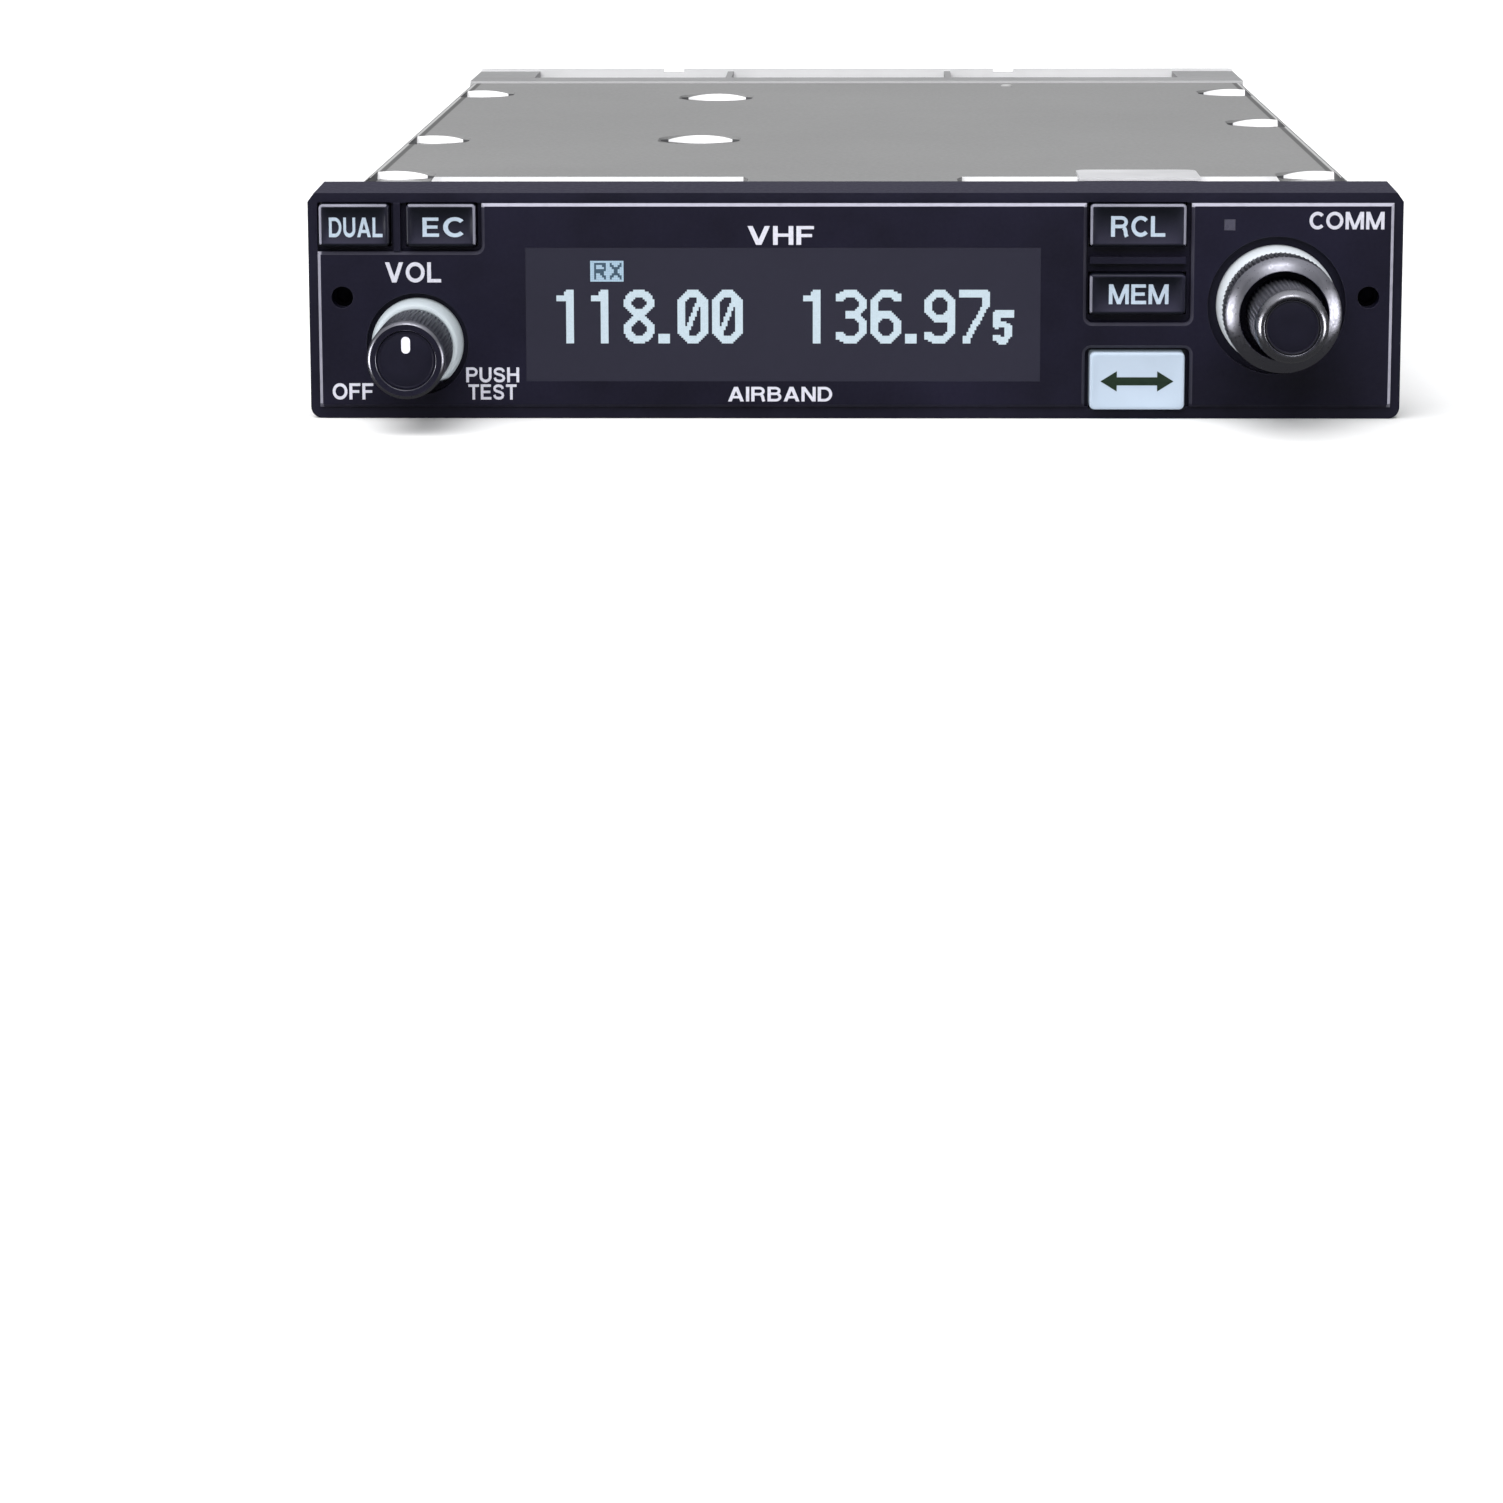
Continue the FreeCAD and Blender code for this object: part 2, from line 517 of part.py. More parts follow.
def rear_heat_sink():
    half = CASE_W / 2.0
    block = box(-half, half, COVER_REAR, UNIT_DEPTH, 0.0, PANEL_H)
    upright = [e for e in block.Edges
               if abs(e.Vertexes[0].Z - e.Vertexes[1].Z) > 1.0 and e.BoundBox.YMin > FRONT_Y + 250]
    block = block.makeFillet(1.2, upright)
    rim = UNIT_DEPTH - 1.0
    tools = [box(-half, half, COVER_REAR - 1, COVER_REAR + 0.8, COVER_TOP, PANEL_H + 1),
             box(-half, half, COVER_REAR, rim, 33.6, PANEL_H + 1)]
    for x0, x1 in ((-62.4, -25.3), (-24.2, 17.3), (18.5, 62.2)):
        tools.append(box(x0, x1, 251.0, rim, 31.0, PANEL_H + 1))
        tools.append(box(x0, x1, 251.0, rim, -1.0, 2.6))
    for x in (-36.0, 29.0):
        tools.append(box(x - 2.0, x + 2.0, rim - 1, UNIT_DEPTH + 1, 33.4, PANEL_H + 1))
    dx, dz = DATA_PLUG
    tools.append(box(dx - 27.2, dx + 27.2, COVER_REAR - 1, UNIT_DEPTH - 2.5, dz - 6.8, dz + 6.8))
    tools.append(box(dx - 19.4, dx + 19.4, COVER_REAR - 1, UNIT_DEPTH + 1, dz - 4.4, dz + 4.4))
    for side in (-1, 1):
        tools.append(rod(dx + side * JACK_SPACING / 2.0, dz, 2.9, COVER_REAR, UNIT_DEPTH + 1))
        tools.append(rod(side * LOCATOR_X, LOCATOR_Z, LOCATOR_R, UNIT_DEPTH - LOCATOR_DEPTH,
                         UNIT_DEPTH + 1))
    for x, z in HEAT_SINK_SCREWS:
        tools.append(rod(x, z, 1.0, COVER_REAR - 1, COVER_REAR + 8))
    tools.append(rod(ANTENNA[0], ANTENNA[1], 6.05, COVER_REAR - 1, UNIT_DEPTH + 1))
    # cooling grooves across the back, between the connectors and the right end
    for i in range(5):
        z = 5.2 + i * 4.7
        for x0, x1 in ((3.6, 35.5), (54.5, 61.0)):
            tools.append(box(x0, x1, UNIT_DEPTH - 9.0, UNIT_DEPTH + 1, z, z + 2.6))
    save("rear_heat_sink", cut(block, tools))


def heat_sink_screws():
    rear = COVER_REAR - REAR_PLATE_T
    screws = []
    for x, z in HEAT_SINK_SCREWS:
        screw = rod(x, z, 0.98, rear, COVER_REAR + 7).fuse(rod(x, z, 2.1, rear - 1.8, rear))
        screws.append(screw.cut(hexagon(x, z, 2.0, rear - 3, rear - 0.9)))
    save_group("heat_sink_screws", screws)


# ---- main board ----------------------------------------------------------------------------
def main_board():
    board = box(-70.6, 70.6, 22.0, 234.0, BOARD_Z[0], BOARD_Z[1])
    places = [(side * (WALL_X[0] - 3.2), d) for side in (-1, 1) for d in LEDGES_D]
    save("main_board", cut(board, [post(x, d, 1.3, 7, 11) for x, d in places]))
    screws = []
    for x, d in places:
        screw = post(x, d, 0.98, 3.5, BOARD_Z[1]).fuse(post(x, d, 2.0, BOARD_Z[1],
                                                            BOARD_Z[1] + 1.5))
        screws.append(screw.cut(post(x, d, 0.8, BOARD_Z[1] + 0.7, 14)))
    save_group("main_board_screws", screws)


def on_board(x0, x1, d0, d1, height):
    return box(x0, x1, d0, d1, BOARD_Z[1], BOARD_Z[1] + height)


def standoffs():
    """Posts under the two centre dimples of the top cover."""
    top = COVER_TOP - DIMPLE_DEPTH - SHEET
    save_group("cover_standoffs", [post(x, d, 2.6, BOARD_Z[1], top) for x, d in CENTRE_DIMPLES])


def shield_can(name, x0, x1, d0, d1, height):
    """Folded tin can with an open underside and a row of tuning holes in its lid."""
    can = on_board(x0, x1, d0, d1, height)
    can = can.cut(box(x0 + 0.4, x1 - 0.4, d0 + 0.4, d1 - 0.4, 0, BOARD_Z[1] + height - 0.4))
    count = 4
    step = (x1 - x0) / count
    holes = [post(x0 + step * (i + 0.5), (d0 + d1) / 2.0, 2.2, 15, 40) for i in range(count)]
    save(name, cut(can, holes))


def board_parts():
    shield_can("rf_shield_can", -62.0, -2.0, 34.0, 82.0, 12.0)
    shield_can("if_shield_can", 6.0, 58.0, 34.0, 78.0, 12.0)
    save("processor_chip", on_board(18.0, 38.0, 92.0, 112.0, 2.2))
    caps = []
    for x, d in ((-56.0, 122.0), (-56.0, 140.0), (-40.0, 122.0), (-40.0, 140.0)):
        caps.append(post(x, d, 6.2, BOARD_Z[1], BOARD_Z[1] + 15.5))
    save_group("supply_capacitors", caps)
    module = on_board(14.0, 62.0, 221.0, 234.0, 9.0)
    flange = box(12.0, 64.0, 234.0, COVER_REAR - 3, BOARD_Z[1], 25.0)
    save("power_amplifier_module", module.fuse(flange))


def ribbon_cable():
    """Flat cable from the front board back and down to the main board."""
    half = 0.5
    width = (-22.0, 6.0)
    header_front = box(-24.0, 8.0, BOARD_D[1], 13.0, 19.0, 25.0)
    header_main = on_board(-24.0, 8.0, 24.0, 30.0, 6.0)
    low = BOARD_Z[1] + 6.0
    flat = box(width[0], width[1], 13.0, 27.0 + half, 22.0 - half, 22.0 + half)
    drop = box(width[0], width[1], 27.0 - half, 27.0 + half, low, 22.0 + half)
    save_group("ribbon_headers", [header_front, header_main])
    cable = flat.fuse(drop).removeSplitter()
    bend = [e for e in cable.Edges if abs(e.Vertexes[0].X - e.Vertexes[1].X) > 5
            and e.BoundBox.ZMin > 22.0 + half - 0.01 and e.BoundBox.YMin > FRONT_Y + 27.0]
    save("front_ribbon_cable", cable.makeFillet(0.9, bend))


# ---- rear connectors -----------------------------------------------------------------------
def connectors():
    x, z = DATA_PLUG
    flange = box(x - 26.6, x + 26.6, UNIT_DEPTH - 4.3, UNIT_DEPTH - 2.5, z - 6.2, z + 6.2)
    slant = 0.176                    # sides of a D-shaped shell lean by 10 degrees
    top, low = 19.0, 19.0 - 2.0 * 4.0 * slant
    shell = outline([(x - top, z + 4.0), (x - low, z - 4.0), (x + low, z - 4.0),
                     (x + top, z + 4.0)], UNIT_DEPTH - 4.3, UNIT_DEPTH + 3.2)
    hole = outline([(x - top + 0.5, z + 3.5), (x - low + 0.6, z - 3.5), (x + low - 0.6, z - 3.5),
                    (x + top - 0.5, z + 3.5)], UNIT_DEPTH - 6, UNIT_DEPTH + 5)
    body = cut(flange.fuse(shell), [hole] + [rod(x + s * JACK_SPACING / 2.0, z, 1.6, 260, 275)
                                             for s in (-1, 1)])
    save("data_connector_shell", body)
    insert = outline([(x - top + 0.5, z + 3.5), (x - low + 0.6, z - 3.5), (x + low - 0.6, z - 3.5),
                      (x + top - 0.5, z + 3.5)], UNIT_DEPTH - 4.3, UNIT_DEPTH + 2.9)
    back = box(x - 19.0, x + 19.0, UNIT_DEPTH - 12.0, UNIT_DEPTH - 4.3, z - 4.4, z + 4.4)
    pins = []
    for row, count in ((1.42, 13), (-1.42, 12)):
        for i in range(count):
            px = x + (i - (count - 1) / 2.0) * 2.76
            pins.append(rod(px, z + row, 0.55, UNIT_DEPTH - 3.0, UNIT_DEPTH + 4))
    save("data_connector_insert", cut(insert.fuse(back), pins))
    jacks = []
    for side in (-1, 1):
        jx = x + side * JACK_SPACING / 2.0
        screw = hexagon(jx, z, 4.75, UNIT_DEPTH - 2.5, UNIT_DEPTH + 2.4)
        screw = screw.fuse(rod(jx, z, 1.55, UNIT_DEPTH - 6.5, UNIT_DEPTH - 2.5))
        jacks.append(screw.cut(rod(jx, z, 1.25, UNIT_DEPTH - 3.5, UNIT_DEPTH + 3)))
    save_group("data_connector_screws", jacks)
    x, z = ANTENNA
    plug = rod(x, z, 6.0, UNIT_DEPTH - 12.0, UNIT_DEPTH).fuse(
        rod(x, z, ANTENNA_R, UNIT_DEPTH, UNIT_DEPTH + PLUG_REACH))
    plug = plug.cut(rod(x, z, 3.2, UNIT_DEPTH - 8.0, UNIT_DEPTH + PLUG_REACH + 1))
    save("antenna_connector", plug)
    core = rod(x, z, 3.2, UNIT_DEPTH - 8.0, UNIT_DEPTH + 2.0).fuse(
        rod(x, z, 0.7, UNIT_DEPTH, UNIT_DEPTH + 7.0))
    save("antenna_connector_insulator", core)


front_bezel()
light_plate()
display_parts()
for key_name in KEYS:
    button(key_name)
keypads()
front_board()
bezel_screws()
volume_control()
tuning_control()
locks()
front_flange()
side_rail("side_rail_left", -1)
side_rail("side_rail_right", 1)
rear_plate()
cover("top_cover", True)
cover("bottom_cover", False)
cover_screws("top_cover_screws", TOP_SCREW_Z)
cover_screws("bottom_cover_screws", BOTTOM_SCREW_Z)
grounding_clip()
rear_heat_sink()
heat_sink_screws()
main_board()
standoffs()
board_parts()
ribbon_cable()
connectors()
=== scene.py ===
import bmesh
import bpy
import math
from mathutils import Matrix, Vector

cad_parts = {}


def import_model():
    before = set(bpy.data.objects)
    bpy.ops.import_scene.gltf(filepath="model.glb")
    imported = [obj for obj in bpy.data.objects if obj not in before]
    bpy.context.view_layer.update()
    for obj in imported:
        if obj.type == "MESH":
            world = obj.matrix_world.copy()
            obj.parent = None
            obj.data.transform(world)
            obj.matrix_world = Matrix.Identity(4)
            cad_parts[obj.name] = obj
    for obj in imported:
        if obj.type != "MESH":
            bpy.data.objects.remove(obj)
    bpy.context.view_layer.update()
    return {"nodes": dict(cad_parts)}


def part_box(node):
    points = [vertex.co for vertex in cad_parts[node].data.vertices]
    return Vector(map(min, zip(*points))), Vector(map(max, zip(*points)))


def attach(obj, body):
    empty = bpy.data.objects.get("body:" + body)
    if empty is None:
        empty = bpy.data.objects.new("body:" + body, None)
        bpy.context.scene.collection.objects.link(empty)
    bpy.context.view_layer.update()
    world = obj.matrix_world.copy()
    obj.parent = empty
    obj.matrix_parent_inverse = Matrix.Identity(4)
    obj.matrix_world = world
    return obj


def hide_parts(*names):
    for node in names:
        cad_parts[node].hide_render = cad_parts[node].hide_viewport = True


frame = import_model()
MM = 0.001
KEY_EDGE = 0.42  # width of the bevel round a key
KEY_FLANGE = 0.35  # how far a key's hidden flange stands out round its cap
SWAP_LOW_FLANGE = 0.3  # the same below the swap key
KEY_SCOOP = 0.42  # depth of the hollow in a key's face
SWAP_SCOOP = 0.40
INK = 0.03  # thickness of a printed legend
DOT = 0.02  # thickness of a lit display cell
DIMPLE_RIM_R = 6.76  # half the width of a dimple at its rim and at its floor
DIMPLE_FLOOR_R = 5.88
DIMPLE_DROP = 1.28  # depth of a dimple
DIMPLE_STRETCH = 2.6  # the dimples are longer than wide by twice this
DIMPLE_MARGIN = 1.0  # rim between a side dimple and the case edge
DIMPLE_INSET = 3.7  # centre of a side dimple to the case edge
CENTRE_DIMPLES = [(-25.7, 100.5), (-25.7, 201.5)]  # x and depth
LEFT_DIMPLES = [29.0, 100.0, 211.0]  # depths
RIGHT_DIMPLES = [28.5, 136.5, 213.5]
RIVET = (28.6, 232.0)  # x and depth

# ---- driving sizes, read from the frame where a CAD node has them
FACE_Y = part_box("light_plate")[0].y  # front of the light plate; depths count rearwards from it
UNIT_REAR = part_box("rear_heat_sink")[1].y
COVER_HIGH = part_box("top_cover")[1]
CASE_HALF = COVER_HIGH.x


def centre_of(node):
    low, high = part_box(node)
    return (low + high) / 2


VOLUME = centre_of("volume_knob")
TUNING = centre_of("tuning_inner_knob")
WINDOW_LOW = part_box("display_window")[0]
DATA_PLUG = centre_of("data_connector_shell")


def depth(d):
    """World y of a depth in millimetres behind the face of the light plate."""
    return FACE_Y + d * MM


# ---- materials
class Nodes:
    """A small helper that builds a node material around one Principled shader."""

    def __init__(self, name, rough=0.5, metal=0.0, specular=0.5, coat=0.0, coat_rough=0.2):
        self.mat = bpy.data.materials.new(name)
        self.mat.use_nodes = True
        self.tree = self.mat.node_tree
        self.shader = self.tree.nodes["Principled BSDF"]
        self.shader.inputs["Roughness"].default_value = rough
        self.shader.inputs["Metallic"].default_value = metal
        self.shader.inputs["Specular IOR Level"].default_value = specular
        self.shader.inputs["Coat Weight"].default_value = coat
        self.shader.inputs["Coat Roughness"].default_value = coat_rough
        self.coord = self.tree.nodes.new("ShaderNodeTexCoord").outputs["Object"]
        self.height = None

    def link(self, out, socket):
        self.tree.links.new(out, socket)

    def noise(self, scale, detail=3.0, rough=0.55, stretch=(1, 1, 1)):
        mapping = self.tree.nodes.new("ShaderNodeMapping")
        mapping.inputs["Scale"].default_value = stretch
        self.link(self.coord, mapping.inputs["Vector"])
        node = self.tree.nodes.new("ShaderNodeTexNoise")
        node.inputs["Scale"].default_value = scale
        node.inputs["Detail"].default_value = detail
        node.inputs["Roughness"].default_value = rough
        self.link(mapping.outputs[0], node.inputs["Vector"])
        return node.outputs["Fac"]

    def ramp(self, value, low, high, out_low=0.0, out_high=1.0):
        node = self.tree.nodes.new("ShaderNodeMapRange")
        node.inputs["From Min"].default_value = low
        node.inputs["From Max"].default_value = high
        node.inputs["To Min"].default_value = out_low
        node.inputs["To Max"].default_value = out_high
        self.link(value, node.inputs["Value"])
        return node.outputs[0]

    def math(self, kind, a, b=0.0):
        node = self.tree.nodes.new("ShaderNodeMath")
        node.operation = kind
        for socket, value in zip(node.inputs, (a, b)):
            if isinstance(value, (int, float)):
                socket.default_value = value
            else:
                self.link(value, socket)
        return node.outputs[0]

    def mix(self, factor, a, b):
        node = self.tree.nodes.new("ShaderNodeMix")
        node.data_type = "RGBA"
        for name, value in (("A", a), ("B", b)):
            socket = [s for s in node.inputs if s.name == name and s.type == "RGBA"][0]
            if isinstance(value, tuple):
                socket.default_value = (*value, 1.0)
            else:
                self.link(value, socket)
        if isinstance(factor, (int, float)):
            node.inputs["Factor"].default_value = factor
        else:
            self.link(factor, node.inputs["Factor"])
        return [s for s in node.outputs if s.type == "RGBA"][0]

    def axis(self, letter, normal=False):
        """One coordinate of the point, or of its normal, in the row frame."""
        node = self.tree.nodes.new("ShaderNodeSeparateXYZ")
        source = self.coord
        if normal:
            source = self.tree.nodes.new("ShaderNodeTexCoord").outputs["Normal"]
        self.link(source, node.inputs[0])
        return node.outputs[letter]

    def between(self, value, low, high, soft):
        """1 where value lies between low and high, fading over soft."""
        rise = self.ramp(value, low - soft, low)
        fall = self.ramp(value, high, high + soft, 1.0, 0.0)
        return self.math("MULTIPLY", rise, fall)

    def bump(self, value, strength, distance):
        node = self.tree.nodes.new("ShaderNodeBump")
        node.inputs["Strength"].default_value = strength
        node.inputs["Distance"].default_value = distance
        self.link(value, node.inputs["Height"])
        if self.height is not None:
            self.link(self.height, node.inputs["Normal"])
        self.height = node.outputs[0]
        self.link(self.height, self.shader.inputs["Normal"])

    def colour(self, value):
        socket = self.shader.inputs["Base Color"]
        if isinstance(value, tuple):
            socket.default_value = (*value, 1.0)
        else:
            self.link(value, socket)

    def roughness(self, value):
        self.link(value, self.shader.inputs["Roughness"])

    def glow(self, rgb, strength):
        self.shader.inputs["Emission Color"].default_value = (*rgb, 1.0)
        self.shader.inputs["Emission Strength"].default_value = strength


def shade(rgb, factor):
    return tuple(c * factor for c in rgb)


def moulded(name, rgb, rough, specular, grain=900.0, bump=0.05, spread=0.25):
    """Painted or moulded plastic with a fine even grain."""
    n = Nodes(name, rough=rough, specular=specular)
    cloud = n.noise(60.0, 4.0)
    n.colour(n.mix(n.ramp(cloud, 0.3, 0.7), shade(rgb, 1.0 - spread), shade(rgb, 1.0 + spread)))
    fine = n.noise(grain, 2.0)
    n.roughness(n.ramp(fine, 0.3, 0.7, rough - 0.06, rough + 0.06))
    n.bump(fine, bump, 0.0001)
    return n


def metal(name, rgb, rough, brush=(1, 1, 1), scale=700.0, bump=0.06, spread=0.12, share=1.0):
    """Bare or plated metal; brush stretches its fine scratches along one axis."""
    n = Nodes(name, rough=rough, metal=share)
    fine = n.noise(scale, 3.0, stretch=brush)
    cloud = n.noise(45.0, 4.0)
    n.colour(n.mix(n.ramp(cloud, 0.35, 0.65), shade(rgb, 1.0 - spread), shade(rgb, 1.0 + spread)))
    n.roughness(n.ramp(fine, 0.3, 0.7, rough * 0.75, rough * 1.3))
    n.bump(fine, bump, 0.00005)
    return n


def face_paint():
    """Fine matt paint of the light plate, with a painted highlight on the bevel round its outline:
    bright along the top and sides, weaker on the left, faint elsewhere and faintest along the bottom.
    """
    n = moulded("face_paint", FACE_RGB, 0.62, 0.22, 1400.0, 0.04)
    low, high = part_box("light_plate")
    ny = n.axis("Y", True)
    x = n.math("ABSOLUTE", n.axis("X"))
    z = n.axis("Z")
    bevel = n.math("MULTIPLY", n.ramp(ny, -0.96, -0.9), n.ramp(ny, -0.45, -0.35, 1.0, 0.0))
    near = 0.6 * MM
    sides = n.math("MULTIPLY", n.ramp(x, high.x - near, high.x - near * 0.9),
                   n.ramp(n.axis("X"), -MM, MM, 0.65, 1.0))
    top = n.ramp(z, high.z - near, high.z - near * 0.9)
    outline = n.math("MAXIMUM", sides, top)
    floor_line = n.ramp(z, low.z + near * 0.9, low.z + near, 0.3, 1.0)
    tone = n.math("MULTIPLY", n.ramp(outline, 0.0, 1.0, 0.07, 1.0), floor_line)
    highlight_breakup = n.noise(700.0, 3.0)
    # strength of the painted highlight, broken up a little by noise
    amount = n.math("MULTIPLY", n.math("MULTIPLY", bevel, tone), n.ramp(highlight_breakup, 0.2, 0.5, 0.8, 1.0))
    base = n.shader.inputs["Base Color"].links[0].from_socket
    n.colour(n.mix(amount, base, PLATE_HIGHLIGHT_RGB))
    return n


def bezel_paint():
    """Satin paint of the bezel, with a painted highlight that makes its sloped top a little lighter.
    """
    n = moulded("bezel_paint", BEZEL_RGB, 0.5, 0.3, 1200.0, 0.05)
    nz = n.axis("Z", True)
    base = n.shader.inputs["Base Color"].links[0].from_socket
    n.colour(n.mix(n.ramp(nz, 0.55, 0.95), base, BEZEL_TOP_HIGHLIGHT_RGB))
    return n


def key_paint():
    """Moulded key with painted shade on the upper half of its scooped face, where it catches less
    light, and on its top bevel.
    """
    n = moulded("key_plastic", KEY_LOW_RGB, 0.42, 0.3, 1300.0, 0.04)
    base = n.shader.inputs["Base Color"].links[0].from_socket
    nz = n.axis("Z", True)
    lit_part = n.math("MULTIPLY", n.ramp(nz, -0.22, 0.3), n.ramp(nz, 0.45, 0.6, 1.0, 0.1))
    n.colour(n.mix(lit_part, KEY_SHADE_RGB, base))
    return n


def cover_paint():
    """Matt grey sheet with painted shade in a band along its long bends and a painted highlight on
    the rolled edge beyond; cut edges that face forward are bare metal, painted near-white as a
    highlight.
    """
    n = Nodes("cover_paint", rough=0.85, specular=0.12)
    cloud = n.noise(22.0, 5.0)
    speck = n.noise(1500.0, 2.0)
    tone = n.math("ADD", n.math("MULTIPLY", cloud, 0.35), n.math("MULTIPLY", speck, 0.65))
    base = n.mix(n.ramp(tone, 0.35, 0.65), shade(COVER_RGB, 0.93), shade(COVER_RGB, 1.07))
    x = n.math("ABSOLUTE", n.axis("X"))
    # painted shade along the long bends
    bend_shade = n.between(x, CASE_HALF - 2.1 * MM, CASE_HALF - 1.45 * MM, 0.15 * MM)
    sheet = n.mix(bend_shade, base, shade(COVER_RGB, 0.5))
    # painted highlight on the rolled edge
    rolled = n.between(x, CASE_HALF - 1.2 * MM, CASE_HALF - 0.9 * MM, 0.1 * MM)
    sheet = n.mix(rolled, sheet, shade(COVER_RGB, 1.75))
    # bare metal painted near-white as a highlight where a face looks forward
    edge = n.ramp(n.axis("Y", True), -0.97, -0.9, 1.0, 0.0)
    n.colour(n.mix(edge, sheet, BARE_HIGHLIGHT_RGB))
    n.bump(speck, 0.10, 0.00008)
    n.bump(n.noise(90.0, 3.0), 0.12, 0.0003)
    return n


def cast(name, rgb, rough=0.6):
    """Cast aluminium with a pebbled skin."""
    n = Nodes(name, rough=rough, metal=0.35, specular=0.3)
    pebble = n.noise(420.0, 5.0, 0.65)
    cloud = n.noise(30.0, 4.0)
    n.colour(n.mix(n.ramp(cloud, 0.3, 0.7), shade(rgb, 0.88), shade(rgb, 1.08)))
    n.roughness(n.ramp(pebble, 0.3, 0.7, rough - 0.12, rough + 0.12))
    n.bump(pebble, 0.25, 0.0002)
    return n


def block_skin():
    """The heat sink: cast skin; faces that look forward carry a painted highlight of near-white
    metal, dimmer towards the front.
    """
    n = cast("heat_sink_cast", BLOCK_RGB)
    base = n.shader.inputs["Base Color"].links[0].from_socket
    # painted highlight on faces that look forward
    forward = n.ramp(n.axis("Y", True), -0.9, -0.7, 1.0, 0.0)
    tone = n.ramp(n.axis("Y"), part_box("rear_heat_sink")[0].y + 3.0 * MM, UNIT_REAR - 4.0 * MM)
    n.colour(n.mix(forward, base, n.mix(tone, shade(BARE_HIGHLIGHT_RGB, 0.7), BARE_HIGHLIGHT_RGB)))
    return n


def smoked_glass():
    """Anti-glare window, tinted almost black."""
    n = Nodes("smoked_window", rough=0.45, specular=0.12)
    cloud = n.noise(60.0, 3.0)
    n.colour(n.mix(cloud, shade(GLASS_RGB, 0.94), shade(GLASS_RGB, 1.06)))
    return n


def lit(name, rgb, strength, glow):
    """Translucent moulding with a lamp behind it, unevenly lit."""
    n = Nodes(name, rough=0.35, specular=0.4, coat=0.2)
    cloud = n.noise(140.0, 3.0)
    n.colour(n.mix(n.ramp(cloud, 0.3, 0.7), shade(rgb, 0.93), rgb))
    n.bump(n.noise(1500.0, 2.0), 0.04, 0.00004)
    n.glow(glow, strength)
    return n


def bare_sheet_highlight():
    """Bare rolled metal with fine lines along the case, near-white as a painted highlight."""
    n = Nodes("bare_sheet_highlight")
    fine = n.noise(900.0, 3.0, stretch=(1, 6, 1))
    n.colour(n.mix(fine, shade(BARE_HIGHLIGHT_RGB, 0.96), BARE_HIGHLIGHT_RGB))
    n.bump(fine, 0.05, 0.00004)
    return n


def volume_ring_paint():
    """The light ring of the volume knob; its lowest part stays dark."""
    strength = 0.13
    n = lit("light_ring", (0.47, 0.52, 0.555), strength, (0.86, 0.96, 1.0))
    on = n.ramp(n.axis("Z"), VOLUME.z - 5.0 * MM, VOLUME.z - 4.5 * MM)
    base = n.shader.inputs["Base Color"].links[0].from_socket
    n.colour(n.mix(on, BEZEL_RGB, base))
    n.link(n.math("MULTIPLY", on, strength), n.shader.inputs["Emission Strength"])
    return n


def printed(name, rgb, glow=0.0):
    """Silk-screened ink, slightly uneven."""
    n = Nodes(name, rough=0.6, specular=0.2)
    grain = n.noise(2600.0, 2.0)
    n.colour(n.mix(n.ramp(grain, 0.3, 0.7), shade(rgb, 0.86), rgb))
    n.bump(grain, 0.05, 0.00002)
    if glow:
        n.glow(rgb, glow)
    return n


def circuit_board():
    """Green solder mask over copper tracks laid out on a grid."""
    n = Nodes("solder_mask", rough=0.35, specular=0.5, coat=0.4)
    voronoi = n.tree.nodes.new("ShaderNodeTexVoronoi")
    voronoi.feature = "DISTANCE_TO_EDGE"
    voronoi.distance = "EUCLIDEAN"
    voronoi.inputs["Scale"].default_value = 140.0
    n.link(n.coord, voronoi.inputs["Vector"])
    track = n.ramp(voronoi.outputs["Distance"], 0.05, 0.07, 1.0, 0.0)
    n.colour(n.mix(track, MASK_RGB, TRACK_RGB))
    n.bump(track, 0.2, 0.00005)
    return n


FACE_RGB = (0.0075, 0.0066, 0.0185)
# painted highlight on the bevel of the light plate
PLATE_HIGHLIGHT_RGB = (0.38, 0.375, 0.45)
BEZEL_RGB = (0.0085, 0.0078, 0.02)
# painted highlight on the bezel's upward-facing top
BEZEL_TOP_HIGHLIGHT_RGB = (0.0268, 0.0253, 0.0435)
KEY_LOW_RGB = (0.022, 0.021, 0.040)
# painted shade on the upper part of a key's face
KEY_SHADE_RGB = (0.0035, 0.0045, 0.009)
# painted highlight on the bright sides of a key's bevel
KEY_EDGE_HIGHLIGHT_RGB = (0.20, 0.20, 0.25)
COVER_RGB = (0.24, 0.24, 0.24)
BLOCK_RGB = (0.36, 0.36, 0.365)
# near-white bare metal, used as a painted highlight
BARE_HIGHLIGHT_RGB = (0.93, 0.93, 0.94)
GLASS_RGB = (0.0235, 0.0228, 0.037)
POLISH_RGB = (0.32, 0.32, 0.365)
KNURL_RGB = (0.26, 0.26, 0.30)
MASK_RGB = (0.008, 0.06, 0.025)
TRACK_RGB = (0.02, 0.13, 0.05)

M = {}
M["face"] = face_paint()
M["bezel"] = bezel_paint()
M["cover"] = cover_paint()
M["block"] = block_skin()
M["cast"] = cast("chassis_cast", (0.55, 0.55, 0.56), 0.5)
